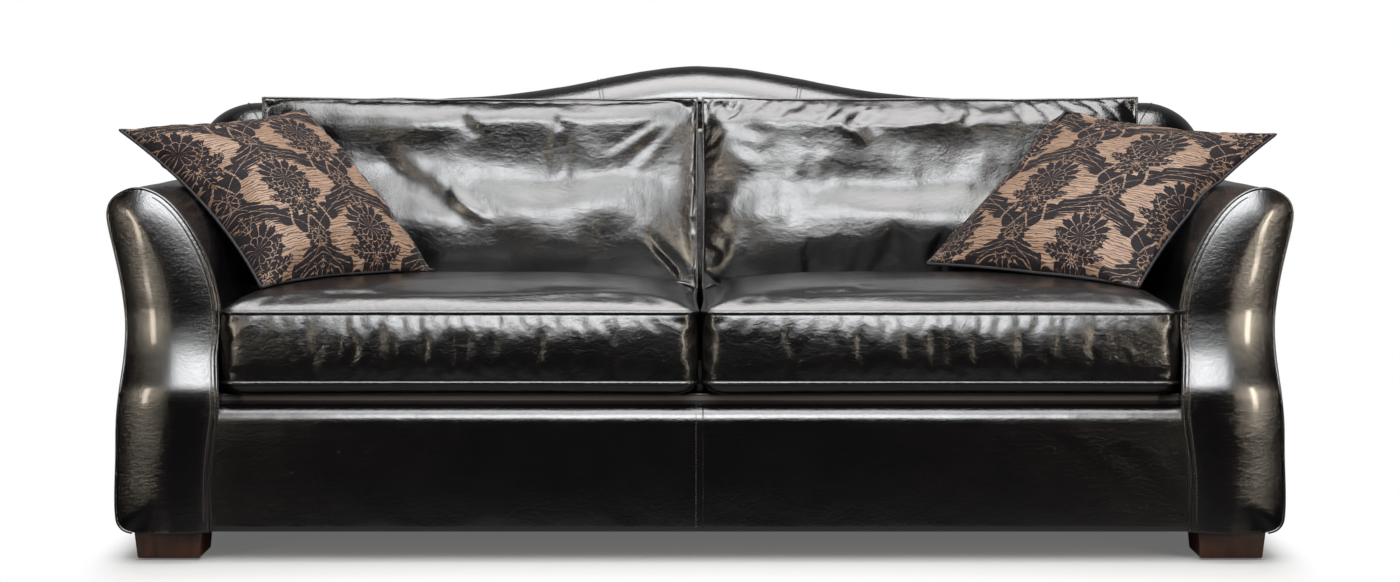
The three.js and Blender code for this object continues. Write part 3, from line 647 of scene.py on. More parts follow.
def outsideBack():
    outline = (rollLine - rollOut * back["roll"])[::2]
    ends = np.array([outline[-1], outline[0]])
    low, shelf = ([(x, height) for x, _ in ends] for height in (armLow.z, plates["insideTopFoot"]))
    panel = plateOf("outside_back", [*outline, *low], rollRear, **plates["outsideBack"])
    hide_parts("outside_back_panel")
    hem = [blendOf(*np.array(low), t) for t in np.linspace(0, 1, 90)]
    run = [(x, rollRear + back["weltOut"], z) for x, z in [*outline, *hem]]
    cordOf("outside_back_welt", run, back["weltRadius"], closed=True)
    for label, side in sides.items():
        lobe = [(side * x, z) for x, z in armLine[::3]]
        plateOf(f"{label}_arm_end", lobe, armHigh.y + plates["armEndOut"], **plates["armEnd"])
        ring = [(x, armHigh.y + back["weltOut"], z) for x, z in lobe]
        cordOf(f"{label}_arm_end_welt", ring, back["weltRadius"], closed=True)
    inside = plateOf("inside_back_top", [*outline, *shelf], rollLow.y + plates["insideTopIn"],
                     **plates["insideTop"])
    inside.data.flip_normals()


def insideBack():
    low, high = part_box("inside_back_pad")
    knee, top = low.z + back["padKnee"], low.z + back["padTop"]

    def place(across, up):
        x, z = blendOf(low.x, high.x, across), blendOf(low.z, top, up)
        lean = back["padFoot"] * (1 - max((z - knee) / (top - knee), 0))
        edge = ease(-0.001, back["padEdge"], high.x - abs(x))
        return (x, high.y - lean * edge + wavers((x, z, 0), back["padWaves"]), z)

    leatherSheet("inside_back", (220, 70), place, (0.1, low.y, 0.5), (0, -1, 0), "inside_back_pad")


backRoll()
outsideBack()
insideBack()
print("back made")


# Soft work: the mesh swells under air pressure while its sewn lines are held

cloth = {"frames": 20, "pressure": 4.0, "quality": 4}
sewn = {"weld": 0.0021, "edge": 0.999}


def spots(piece):
    flat = np.empty(len(piece.data.vertices) * 3, np.float32)
    piece.data.vertices.foreach_get("co", flat)
    return flat.reshape(-1, 3).astype(float)


def setSpots(piece, places):
    piece.data.vertices.foreach_set("co", places.astype(np.float32).ravel())
    piece.data.update()


def directions(piece):
    flat = np.empty(len(piece.data.vertices) * 3, np.float32)
    piece.data.vertex_normals.foreach_get("vector", flat)
    return flat.reshape(-1, 3).astype(float)


def swollen(piece, held, cap, growth):
    start = spots(piece)
    group = piece.vertex_groups.new(name="sewn")
    group.add([int(i) for i in held], 1, "REPLACE")
    modifier = modified(piece, "CLOTH")
    fabric = modifier.settings
    fabric.quality = cloth["quality"]
    fabric.use_pressure = True
    fabric.uniform_pressure_force = cloth["pressure"]
    fabric.vertex_group_mass = "sewn"
    fabric.effector_weights.gravity = 0
    fabric.shrink_min = -growth
    modifier.collision_settings.use_collision = False
    scene = bpy.context.scene
    for number in range(1, cloth["frames"] + 1):
        scene.frame_set(number)
    shown = piece.evaluated_get(bpy.context.evaluated_depsgraph_get())
    end = np.array([vert.co for vert in shown.data.vertices], float)
    piece.modifiers.remove(modifier)
    piece.vertex_groups.remove(group)
    scene.frame_set(1)
    move = end - start
    far = np.linalg.norm(move, axis=1, keepdims=True)
    setSpots(piece, start + move * np.minimum(1, cap / np.maximum(far, 1e-9)))


def finer(piece, levels=1):
    modifier = modified(piece, "SUBSURF", levels=levels, render_levels=levels)
    graph = bpy.context.evaluated_depsgraph_get()
    shown = piece.evaluated_get(graph)
    fine = bpy.data.meshes.new_from_object(shown, preserve_all_data_layers=True, depsgraph=graph)
    piece.modifiers.remove(modifier)
    coarse = piece.data
    piece.data = fine
    bpy.data.meshes.remove(coarse)
    fine.name = piece.name
    fine.shade_smooth()


def readings(piece, *names):
    found = []
    for name in names:
        values = np.empty(len(piece.data.vertices), np.float32)
        piece.data.attributes[name].data.foreach_get("value", values)
        found.append(values.astype(float))
    return found


creaseForm = {"sway": 0.35, "sways": 5, "sunk": 0.75, "apart": 1.5, "fade": 0.8}


# A crease runs from one place to another on a face: a raised side and a sunk side, fading at both ends.
def creased(across, up, crease):
    form = creaseForm
    (x0, y0), (x1, y1), wide, deep = crease
    way = np.array((x1 - x0, y1 - y0))
    length = np.hypot(*way)
    way /= length
    run = ((across - x0) * way[0] + (up - y0) * way[1]) / length
    off = ((across - x0) * -way[1] + (up - y0) * way[0]) / wide
    off = off + form["sway"] * np.sin(form["sways"] * run)
    fade = np.clip(1 - (2 * run - 1) ** 2, 0, 1) ** form["fade"]
    return deep * fade * (np.exp(-off ** 2) - form["sunk"] * np.exp(-(off - form["apart"]) ** 2))


def roughened(places, size, seed):
    return np.array([waver(place, size, seed) for place in places])


# Places round the edge of a square that runs from -1 to 1.
def squareRing(columns, rows):
    across, up = (np.linspace(-1, 1, count + 1)[:-1] for count in (columns, rows))
    return [*((t, -1) for t in across), *((1, t) for t in up),
            *((-t, 1) for t in across), *((-1, -t) for t in up)]


# Seat cushions: a boxed cushion with a crowned top, a welt round each edge and a soft underside

seat = {"welt": 0.028, "boxing": 0.132, "crown": 0.046, "dome": 0.42, "bulge": 0.012, "corner": 0.030,
        "pull": 0.007, "under": 0.045, "press": 0.72, "pressShares": (0.1, 0.52), "mesh": 0.0098,
        "clear": 0.001, "sideReach": 0.0006, "weltRadius": 0.0041, "weltOut": 0.0016, "cap": 0.004,
        "growth": 0.014, "topEdge": 0.06, "frontReach": 0.035, "rolling": 0.0009, "broad": 0.0022,
        "sides": 0.8, "gathers": 0.0006, "gatherTurns": 150, "gatherReach": 0.2}
# Each crease runs from one place to another, and has a width and a height.
seatCreases = {
    "left": {
        "boxing": [((x, 0.040 + 0.01 * (i % 2)), (x + 0.014, 0.098 + 0.012 * (i % 3)), 0.0055, 0.0010)
                   for i, x in enumerate((-0.29, -0.255, -0.222, -0.19, -0.162, -0.118, -0.085, -0.06))]
        + [((x, 0.154), (x + 0.030, 0.124 - 0.009 * (i % 3)), 0.0085, 0.0009)
           for i, x in enumerate((0.02, 0.06, 0.10, 0.15, 0.20, 0.245, 0.29, 0.335))],
        "top": [((-0.30, -0.31), (0.10, -0.315), 0.012, 0.0020),
                ((-0.02, -0.30), (0.32, -0.30), 0.010, 0.0022),
                ((-0.36, -0.27), (-0.12, -0.285), 0.010, 0.0016),
                ((0.05, -0.24), (0.36, -0.26), 0.016, 0.0020)],
    },
    "right": {
        "boxing": [((x, 0.154), (x - 0.034, 0.120 - 0.009 * (i % 3)), 0.0090, 0.0009)
                   for i, x in enumerate((-0.33, -0.28, -0.235, -0.19, -0.14, -0.10, -0.06))]
        + [((x, 0.05), (x - 0.012, 0.10), 0.0060, 0.0009) for x in (0.12, 0.21, 0.30, 0.36)],
        "top": [((-0.36, -0.31), (0.02, -0.305), 0.012, 0.0022),
                ((-0.10, -0.29), (0.28, -0.305), 0.011, 0.0020),
                ((0.02, -0.25), (0.34, -0.275), 0.014, 0.0018),
                ((-0.33, -0.25), (-0.02, -0.265), 0.015, 0.0018)],
    },
}


def seatFootprint(a, b, wide, deep, inset, bulge):
    x = a * (wide - inset - (seat["pull"] - bulge) * (1 - b ** 2))
    y = b * (deep - inset - (seat["pull"] - bulge) * (1 - a ** 2))
    r = seat["corner"]
    dx = (abs(x) - (wide - inset - r)) / r
    dy = (abs(y) - (deep - inset - r)) / r
    if dx > 0 and dy > 0:
        rx, ry = dx * math.sqrt(max(1 - dy ** 2 / 2, 0)), dy * math.sqrt(max(1 - dx ** 2 / 2, 0))
        x = math.copysign(wide - inset - r + r * rx, x)
        y = math.copysign(deep - inset - r + r * ry, y)
    return x, y


# Level is 1 on the top, from 1 to 0 down the boxing, and below 0 round under the lower welt.
def seatPlace(a, b, level, wide, deep):
    if level >= 1:
        x, y = seatFootprint(a, b, wide, deep, 0, 0)
        press = ease(*seat["pressShares"], b)
        dome = max((1 - a ** 4) * (1 - b ** 4), 0) ** seat["dome"]
        rise = seat["crown"] * dome * (1 - seat["press"] * press)
        return x, y, seat["welt"] + seat["boxing"] + rise
    if level >= 0:
        bulge = seat["bulge"] * math.sin(math.pi * level) ** 0.7
        x, y = seatFootprint(a, b, wide, deep, 0, bulge)
        return x, y, seat["welt"] + seat["boxing"] * level
    turn = -level * math.pi / 2
    x, y = seatFootprint(a, b, wide, deep, seat["under"] * (1 - math.cos(turn)), 0)
    return x, y, seat["welt"] * (1 - math.sin(turn))


# A tube of walls and a soft lower edge, closed by a top and a bottom. Grids keep the order of the mesh the
# same in each run, which the cloth depends on.
def seatMesh(wide, deep):
    bm = bmesh.new()
    level, across, along = (bm.verts.layers.float.new(name) for name in ("level", "across", "along"))
    columns, rows = round(2 * wide / seat["mesh"]), round(2 * deep / seat["mesh"])
    ring = squareRing(columns, rows)
    levels = [*np.linspace(1, 0, 14), *np.linspace(0, -1, 6)[1:]]
    steps = len(levels) - 1
    for vert in bmesh.ops.create_grid(bm, x_segments=len(ring), y_segments=steps, size=0.5)["verts"]:
        i, j = round((vert.co.x + 0.5) * len(ring)), round((vert.co.y + 0.5) * steps)
        vert[level] = levels[j]
        vert[across], vert[along] = ring[i % len(ring)]
    for height in (1, -1):
        for vert in bmesh.ops.create_grid(bm, x_segments=columns, y_segments=rows, size=1)["verts"]:
            vert[level], vert[across], vert[along] = height, vert.co.x, vert.co.y
    for vert in bm.verts:
        vert.co = seatPlace(vert[across], vert[along], vert[level], wide, deep)
    return bm


def seatWelt(wide, deep, height):
    return [(*seatFootprint(a, b, wide, deep, -seat["weltOut"], 0), height) for a, b in squareRing(89, 89)]


def seatCushion(label, side):
    body = f"{label}_seat_cushion"
    low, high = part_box(body)
    middle = np.array(((low.x + high.x) / 2, (low.y + high.y) / 2, low.z))
    wide, deep = (high.x - low.x) / 2 - seat["clear"], (high.y - low.y) / 2 - seat["clear"]
    piece = lifted(seatMesh(wide, deep), f"{label}_seat", softLeather, body)
    level, a, b = readings(piece, "level", "across", "along")
    edge = np.maximum(abs(a), abs(b)) > sewn["edge"]
    held = np.flatnonzero(((level > 0.999) & edge) | (abs(level) < 0.01) | (level < -0.3))
    swollen(piece, held, seat["cap"], seat["growth"])
    finer(piece)
    level, a, b = readings(piece, "level", "across", "along")
    places, normals = spots(piece), directions(piece)
    onTop = (level > 0.99) * ease(0, seat["topEdge"], 1 - np.maximum(abs(a), abs(b)))
    onSide = np.clip(np.sin(np.pi * np.clip(level, 0, 1)), 0, 1)
    onFront = onSide * (places[:, 1] < -deep + seat["frontReach"])
    x, y, z = places.T
    grow = onFront * sum(creased(x, z, crease) for crease in seatCreases[label]["boxing"])
    grow += onTop * sum(creased(x, y, crease) for crease in seatCreases[label]["top"])
    shift = np.array((side * 0.7, 0.2, 0))
    rolling = roughened(places * (0.5, 1, 1) + shift, 0.055, 11)
    broad = roughened(places + shift, 0.19, 4)
    grow += (seat["rolling"] * rolling + seat["broad"] * broad) * (onTop + seat["sides"] * onSide)
    gathers = np.sin(x * seat["gatherTurns"] + 22 * broad + 6 * rolling)
    under = (1 - np.clip(level, 0, 1)) / seat["gatherReach"]
    grow += seat["gathers"] * gathers * np.exp(-under ** 2) * onSide
    places = places + normals * grow[:, None]
    reach = seat["sideReach"]
    places[:, 0] = np.clip(places[:, 0], low.x - middle[0] - reach, high.x - middle[0] + reach)
    setSpots(piece, places + middle)
    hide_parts(f"{label}_seat_cushion")
    for name, height in {"upper": seat["welt"] + seat["boxing"], "lower": seat["welt"]}.items():
        run = [middle + point for point in seatWelt(wide, deep, height)]
        cordOf(f"{label}_seat_{name}_welt", run, seat["weltRadius"], softLeather,
               body, closed=True)
    return piece


def surfaceOf(piece):
    bm = bmesh.new()
    bm.from_mesh(piece.data)
    tree = BVHTree.FromBMesh(bm)
    bm.free()
    return tree


seats = {label: seatCushion(label, side) for label, side in sides.items()}
seatSurfaces = {label: surfaceOf(piece) for label, piece in seats.items()}
print("seat cushions filled")


# Knife-edge cushions: two faces sewn round four corners

# Spreads the mesh so that it is finer towards the seams.
def bunched(t):
    return 0.5 * t + 0.5 * math.sin(math.pi / 2 * t)


def twoFaces(columns, rows, place):
    bm = bmesh.new()
    across, up = bm.verts.layers.float.new("across"), bm.verts.layers.float.new("up")
    face = bm.verts.layers.float.new("face")
    for sign in (1, -1):
        known = set(bm.verts)
        bmesh.ops.create_grid(bm, x_segments=columns, y_segments=rows, size=1)
        for vert in bm.verts:
            if vert not in known:
                u, v = bunched(vert.co.x), bunched(vert.co.y)
                vert[across], vert[up], vert[face] = u, v, sign
                vert.co = Vector(place(u, v, sign))
    return bm


def filledPair(name, columns, rows, place, look, finish, body):
    piece = lifted(twoFaces(columns, rows, place), name, finish, body, weld=sewn["weld"])
    a, b = readings(piece, "across", "up")
    held = np.flatnonzero(np.maximum(abs(a), abs(b)) > sewn["edge"])
    swollen(piece, held, look["cap"], look["growth"])
    finer(piece)
    return piece


def rimOf(place, count):
    return [place(bunched(u), bunched(v), 0) for u, v in squareRing(count, count)]


backPillow = {"half": 0.453, "tall": 0.205, "rear": 0.125, "fullness": 0.32, "rearCurve": 1.2,
              "pull": 0.004, "pullUp": 1.2, "tilt": 9, "centre": (0.457, 0.158, 0.663), "mesh": 0.0075,
              "cap": 0.009, "growth": 0.018, "seamRadius": 0.0022, "gap": 0.0015, "edgeSway": 0.0035,
              "edgeSize": 0.09, "sag": {"left": 0.11, "right": 0.23}, "sagAt": 0.22, "sagReach": 0.3,
              "driftSway": 0.11, "driftSize": 0.15, "endCurve": (3.2, 0.72), "bellySway": 0.16,
              "bellySize": 0.13, "creaseEdge": 0.05, "broad": 0.0060, "rolling": 0.0020, "pitted": 0.0003,
              "softEdge": 0.12, "fans": 0.0004, "fanTurns": 34, "fanReach": 0.10, "fanEdge": 0.02,
              "innerEnd": 0.0042, "outerEnd": 0.912, "armGap": 0.004, "seamIn": 0.006, "seamArmGap": 0.005,
              "seamUp": 0.004}
# How far the front stands out of the seam, from the lower edge to the upper: a belly, a hollow and a lip.
backBelly = [(-1.0, 0), (-0.92, 0.020), (-0.8, 0.036), (-0.7, 0.0445), (-0.6, 0.050), (-0.5, 0.0533),
             (-0.4, 0.0548), (-0.3, 0.0546), (-0.2, 0.0528), (-0.1, 0.0486), (0.0, 0.0432), (0.1, 0.0378),
             (0.2, 0.0334), (0.3, 0.0304), (0.4, 0.0293), (0.5, 0.0302), (0.6, 0.0334), (0.68, 0.0362),
             (0.74, 0.0374), (0.8, 0.0350), (0.86, 0.0288), (0.92, 0.0200), (0.96, 0.0122), (1.0, 0)]
backCreases = {
    "left": [((-0.040, 0.178), (-0.010, 0.115), 0.017, 0.0032),
             ((0.150, 0.178), (0.168, 0.130), 0.016, 0.0028),
             ((0.172, 0.170), (0.150, 0.030), 0.014, -0.0030),
             ((-0.120, 0.036), (-0.022, -0.072), 0.021, 0.0034),
             ((-0.058, 0.012), (0.016, -0.066), 0.015, -0.0042),
             ((-0.21, 0.10), (-0.10, -0.02), 0.024, 0.0034),
             ((0.430, 0.181), (0.245, 0.092), 0.012, 0.0016),
             ((0.430, 0.176), (0.285, 0.048), 0.013, 0.0018),
             ((0.40, 0.03), (0.20, 0.055), 0.018, 0.0016),
             ((0.428, -0.192), (0.35, -0.068), 0.013, 0.0036),
             ((0.432, -0.178), (0.365, -0.100), 0.010, 0.0030),
             ((-0.42, 0.16), (-0.30, 0.10), 0.018, 0.0025)],
    "right": [((-0.17, 0.175), (-0.115, 0.100), 0.020, 0.0043),
              ((-0.19, 0.085), (-0.235, 0.01), 0.018, 0.0025),
              ((-0.235, 0.09), (-0.275, -0.03), 0.023, 0.0027),
              ((-0.27, 0.05), (-0.30, -0.06), 0.018, 0.0020),
              ((-0.435, 0.178), (-0.36, 0.135), 0.016, 0.0030),
              ((-0.43, 0.155), (-0.33, 0.085), 0.020, 0.0030),
              ((-0.42, 0.12), (-0.34, 0.045), 0.018, 0.0020),
              ((-0.435, -0.18), (-0.36, -0.075), 0.018, 0.0030),
              ((0.10, 0.16), (0.22, 0.172), 0.016, 0.0020),
              ((0.0, -0.02), (0.14, 0.015), 0.032, 0.0020),
              ((0.43, 0.17), (0.33, 0.10), 0.018, 0.0022)],
}


def bellyOutline():
    line = eased(splineThrough(np.array(backBelly), 12), 8)
    marks = np.linspace(-1, 1, 201)
    return np.column_stack([marks, np.interp(marks, line[:, 0], line[:, 1])])


bellyLine = bellyOutline()


def armInside(height):
    inner = armLine[len(armLine) // 2:]
    return np.interp(height, inner[::-1, 1], inner[::-1, 0])


def seatHeight(surface, places):
    heights = []
    for x, y, _ in places:
        hit = surface.ray_cast(Vector((x, y, 1)), Vector((0, 0, -1)))[0]
        heights.append(hit.z if hit else 0)
    return np.array(heights)


def backCushion(label, side):
    look = backPillow
    body = f"{label}_back_cushion"
    lean = Matrix.Rotation(-math.radians(look["tilt"]), 3, "X")
    centre = Vector((side * look["centre"][0], *look["centre"][1:]))
    padLow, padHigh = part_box("inside_back_pad")
    steep, full = look["endCurve"]

    def local(u, v, face):
        x = look["half"] * u - math.copysign(look["pull"] * (1 - v ** 2), u) * abs(u)
        z = look["tall"] * v - math.copysign(look["pull"] * look["pullUp"] * (1 - u ** 2), v) * abs(v)
        z += look["edgeSway"] * v * waver((x + side, 0, v), look["edgeSize"], 5) * (1 - u ** 4)
        low = look["sag"][label] * math.exp(-((v - look["sagAt"]) / look["sagReach"]) ** 2)
        sway = look["driftSway"] * waver((x + side, 0, 0.3 * v), look["driftSize"], 8)
        drift = v + low + sway * (1 - v ** 2)
        belly = pointOn(bellyLine, (drift + 1) / 2)[1] * (1 - abs(u) ** steep) ** full
        belly *= 1 + look["bellySway"] * waver((x + side, 0, z), look["bellySize"], 12)
        rear = max((1 - u ** 2) * (1 - v ** 2), 0) ** look["fullness"]
        swell = belly if face > 0 else -look["rear"] * rear ** look["rearCurve"]
        return Vector((x, -swell * abs(face) - 0.001 * face, z))

    columns, rows = round(2 * look["half"] / look["mesh"]), round(2.6 * look["tall"] / look["mesh"])
    piece = filledPair(f"{label}_back_pillow", columns, rows, local, look, softLeather,
                       body)
    a, b, face = readings(piece, "across", "up", "face")
    places, normals = spots(piece), directions(piece)
    away = np.minimum(1 - abs(a), 1 - abs(b))
    ahead = (face > 0) * ease(0, look["creaseEdge"], away)
    grow = ahead * sum(creased(places[:, 0], places[:, 2], crease) for crease in backCreases[label])
    shift = np.array((side * 1.3, 0, 0.4))
    broad = roughened(places + shift, 0.15, 6)
    rolling = roughened(places * (1, 1, 0.7) + shift, 0.05, 3)
    pitted = roughened(places * (1, 1, 0.8) + shift, 0.021, 9)
    soft = look["broad"] * broad + look["rolling"] * rolling + look["pitted"] * pitted
    grow += soft * ease(0, look["softEdge"], away)
    fans = np.sin(np.arctan2(b, a) * look["fanTurns"] + 14 * broad) * (0.3 + abs(rolling))
    fans *= np.exp(-(away / look["fanReach"]) ** 2)
    grow += look["fans"] * fans * ease(0, look["fanEdge"], away)
    places = places + normals * grow[:, None]
    places = places @ np.array(lean).T + np.array(centre)
    rest = seatHeight(seatSurfaces[label], places) + look["gap"]
    places[:, 2] = np.maximum(places[:, 2], rest)
    knee = padLow.z + back["padKnee"]
    slope = np.clip((places[:, 2] - knee) / (padHigh.z - knee), 0, 1)
    wall = padHigh.y - back["padFoot"] * (1 - slope) - look["gap"] - 0.001
    places[:, 1] = np.minimum(places[:, 1], wall)
    reach = np.minimum(armInside(places[:, 2]) - look["armGap"], look["outerEnd"])
    places[:, 0] = side * np.clip(side * places[:, 0], look["innerEnd"], reach)
    setSpots(piece, places)
    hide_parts(body)
    rim = [np.array(lean @ point + centre) for point in rimOf(local, 109)]
    for point in rim:
        reach = armInside(point[2]) - look["seamArmGap"]
        point[0] = side * min(max(side * point[0], look["seamIn"]), reach)
        point[1] = min(point[1], padHigh.y - look["seamIn"])
    seams = seatHeight(seatSurfaces[label], rim) + look["seamUp"]
    rim = [(x, y, max(z, low)) for (x, y, z), low in zip(rim, seams)]
    cordOf(f"{label}_back_pillow_seam", rim, look["seamRadius"], softLeather, body,
           closed=True)
    return piece


backs = {label: backCushion(label, side) for label, side in sides.items()}
print("back cushions filled")


# Throw pillows: crinkled satin with a velvet damask of palmettes over scrolled leaves

damask = {"column": 0.150, "repeat": 0.280, "shift": (0.065, 0.03), "drift": (0.005, 0.004), "half": 0.235,
          "edge": 0.0009, "satin": (0.062, 0.037, 0.025, 1), "satinPaintedSheen": (0.120, 0.080, 0.056, 1),
          "crinkleAndShade": (0.008, 0.0038, 0.0027, 1), "velvet": (0.0020, 0.0013, 0.0019, 1),
          "velvetPaintedSheen": (0.0042, 0.0028, 0.0038, 1), "crinkleDepth": 0.0007, "velvetDepth": 0.0005,
          "roughness": 0.42, "velvetRoughness": 0.38, "sheen": 0.02, "specular": 0.1}
# Palmettes: how far up, radius and petals to a half turn. The scrolled bands run between them.
palmettes = [(0.014, 0.064, 7.5), (-0.140, 0.038, 5.5), (0.140, 0.038, 5.5)]
damaskBand = {"half": 0.0255, "lobes": 6, "spine": 0.0006}

# Leaves: root across and up, angle from upright in degrees, length, width, bend and teeth.
damaskLeaves = [
    ((0.004, -0.030), 62, 0.064, 0.0120, -0.018, 5),
    ((0.004, -0.038), 100, 0.062, 0.0120, -0.022, 5),
    ((0.003, -0.046), 138, 0.056, 0.0110, -0.016, 5),
    ((0.000, -0.048), 180, 0.050, 0.0120, 0.000, 4),
    ((0.002, 0.060), 24, 0.040, 0.0085, 0.006, 4),
    ((0.000, 0.058), 0, 0.046, 0.0080, 0.000, 4),
]


def damaskLeaf(x, y, root, angle, length, width, bend, teeth):
    turn = math.radians(angle)
    right, rise = x - root[0], y - root[1]
    run = ((right * math.sin(turn) + rise * math.cos(turn)) / length).clamped()
    off = abs(right * math.cos(turn) - rise * math.sin(turn) - run * run * bend)
    lobes = abs((run * (teeth * math.pi)).maths("SINE"))
    span = (run * (1 - run) * 4) ** 0.5 * (width * 1.3) * (lobes * 0.38 + 0.62)
    ribs = (run * (teeth * 2 * math.pi) - off * 420).maths("SINE")
    return span - off, ((ribs > 0.86) * (off < width * 0.62)).most(off < 0.0008)


def palmette(x, y, up, radius, petals):
    rise = y - up
    away = (x * x + rise * rise).maths("SQRT")
    turn = x.maths("ARCTAN2", rise)
    wave = abs((turn * petals).maths("SINE"))
    teeth = abs((turn * (petals * 3)).maths("SINE")) * 0.11 + 0.89
    reach = (wave ** 0.8 * 0.34 + 0.66) * radius * (turn * -0.06 + 1.08) * teeth
    heart = abs((turn * (petals - 1.5)).maths("COSINE"))
    edge = (wave < 0.16) * (away > radius * 0.50)
    inner = (heart < 0.22) * (away < radius * 0.44)
    ring = abs(away - heart * radius * 0.08 - radius * 0.42) < 0.0011
    return reach - away, edge.most(inner).most(ring)


def scrollBand(x, y):
    turn = y * (2 * math.pi / damask["repeat"])
    half = damask["column"] / 2
    slope = turn.maths("SINE") * (half * 2 * math.pi / damask["repeat"])
    off = (x - (turn.maths("COSINE") + 1) * half) / (slope * slope + 1).maths("SQRT")
    lobes = abs((turn * damaskBand["lobes"] + off * 90).maths("SINE"))
    wide = (lobes ** 0.7 * 0.55 + 0.50) * damaskBand["half"]
    ribs = (turn * (damaskBand["lobes"] * 2) + off * 260).maths("SINE") > 0.93
    return wide - abs(off), ribs.most(abs(off) < damaskBand["spine"])


def damaskFinish():
    look = damask
    finish = Finish("damask")
    across, up = (finish.node("ShaderNodeAttribute", {"attribute_name": name}, out="Fac") * look["half"]
                  for name in ("across", "up"))
    flat = finish.node("ShaderNodeCombineXYZ", None, {"X": across, "Y": up})
    drift = finish.noise(flat, 55, 2)
    moves = zip((across, up), look["shift"], look["drift"])
    u, v = (way + shift + drift * sway for way, shift, sway in moves)
    column = (u / look["column"]).maths("ROUND")
    x = abs(u - column * look["column"])
    drop = column.maths("PINGPONG", 1.0) * (look["repeat"] / 2)
    y = (v + drop).maths("WRAP", look["repeat"] / 2, -look["repeat"] / 2)
    parts = [damaskLeaf(x, y, *leaf) for leaf in damaskLeaves]
    parts += [palmette(x, y, *sizes) for sizes in palmettes] + [scrollBand(x, y)]
    shape, veins = parts[0][0], parts[0][1] * (parts[0][0] > 0)
    for inside, vein in parts[1:]:
        shape, veins = shape.most(inside), veins.most(vein * (inside > 0))
    specks = finish.noise(flat, 420, 2)
    velvet = finish.between(shape / look["edge"] + specks * 1.2 - 0.6, 0.0, 1.0) * (1 - veins * 0.85)
    wander = finish.noise(finish.stretched(flat, (0.25, 1, 1)), 42, 3, 0.6)
    folds = (up * (240 / look["half"]) + wander * 24 + drift * 6).maths("SINE")
    broken = finish.noise(finish.stretched(flat, (0.12, 1, 1)), 210, 3, 0.6)
    crinkleAndShade = finish.between(folds + broken * 2.4 - 1.2, 0.25, 1.0)
    # Painted sheen: stretched lighter streaks in the satin's colour, where its sheen catches the light.
    shine = finish.noise(finish.stretched(flat, (0.3, 1, 1)), 60, 3)
    satin = finish.mixed(shine, look["satin"], look["satinPaintedSheen"])
    # Painted shade: the satin's colour is darkened in the crinkle's grooves, where shade falls.
    satin = finish.mixed(crinkleAndShade * 0.82, satin, look["crinkleAndShade"])
    # Painted sheen: lighter specks mixed into the velvet's dark pile colour.
    pileAndSheen = finish.mixed(specks, look["velvet"], look["velvetPaintedSheen"])
    normal = finish.bump(crinkleAndShade * -1, look["crinkleDepth"])
    normal = finish.bump(velvet + specks * 0.25, look["velvetDepth"], normal=normal)
    shader = finish.surface(Base_Color=finish.mixed(velvet, satin, pileAndSheen), Normal=normal,
                            Roughness=velvet * look["velvetRoughness"] + look["roughness"],
                            Sheen_Weight=look["sheen"], Sheen_Roughness=0.4,
                            Specular_IOR_Level=look["specular"])
    return finish.show(shader).material


damaskCloth = damaskFinish()
cordCloth = plainFinish("pillow_cord", (0.0035, 0.003, 0.0035), (0.010, 0.009, 0.010), 0.55, 420,
                        depth=0.0006, shine=0.15)

pillow = {"size": 0.470, "side": 0.062, "inside": 0.004, "lift": 0.033, "ahead": 0.622, "front": 0.076,
          "rear": 0.045, "fullness": 0.42, "mesh": 0.0066, "cap": 0.010, "growth": 0.025,
          "cordRadius": 0.0032, "gap": 0.002, "creaseEdge": 0.05, "soft": 0.004, "softSize": 0.11,
          "softEdge": 0.15, "gathers": 0.0011, "gatherTurns": 30, "gatherReach": 0.12, "gatherEdge": 0.03,
          "backDepth": 0.12, "armReach": 0.08}
# Corner places from the lower outer corner, out over the arm, back and up, in shares of the size.
pillowShares = {
    "left": {"tip": (0.66, 0.44, 0.64), "top": (-0.03, 1.02, 0.72), "inner": (-0.638, 0.59, 0.02)},
    "right": {"tip": (0.66, 0.53, 0.62), "top": (-0.17, 1.03, 0.715), "inner": (-0.8, 0.7, 0.06)},
}
# How far each edge draws in at its middle: outer, top, inner and bottom.
pillowPulls = {"left": (0.040, 0.024, -0.002, 0.014), "right": (0.030, 0.024, 0.004, 0.012)}
pillowCreases = {
    "left": [((0.02, -0.17), (0.11, -0.10), 0.015, 0.0035), ((0.16, -0.16), (0.05, -0.19), 0.013, 0.0028),
             ((-0.16, 0.17), (-0.05, 0.06), 0.024, 0.0035), ((-0.19, -0.05), (-0.10, 0.02), 0.018, 0.0024)],
    "right": [((-0.14, -0.17), (-0.05, -0.10), 0.015, 0.0031), ((0.17, 0.16), (0.06, 0.07), 0.024, 0.0038),
              ((0.19, -0.02), (0.11, 0.04), 0.018, 0.0028), ((-0.02, 0.19), (0.03, 0.10), 0.018, 0.0028)],
}


# Moves places off the back cushion, the seat and the inside of the arm.
def keptClear(places, arm, seatSurface, backSurface, gap):
    forward, down = Vector((0, 1, 0)), Vector((0, 0, -1))
    for i, place in enumerate(places):
        x, y, z = place
        hit = backSurface.ray_cast(Vector((x, -1, z)), forward)[0]
        if hit is not None and hit.y - gap < y < hit.y + pillow["backDepth"]:
            y = hit.y - gap
        hit = seatSurface.ray_cast(Vector((x, y, 1)), down)[0]
        if hit is not None:
            z = max(z, hit.z + gap)
        near, normal, _, far = arm.find_nearest(Vector((x, y, z)), pillow["armReach"])
        if near is not None:
            depth = (Vector((x, y, z)) - near).dot(normal)
            if depth < gap and (depth < 0 or far < gap):
                x, y, z = near + normal * gap
        places[i] = (x, y, z)
    return places


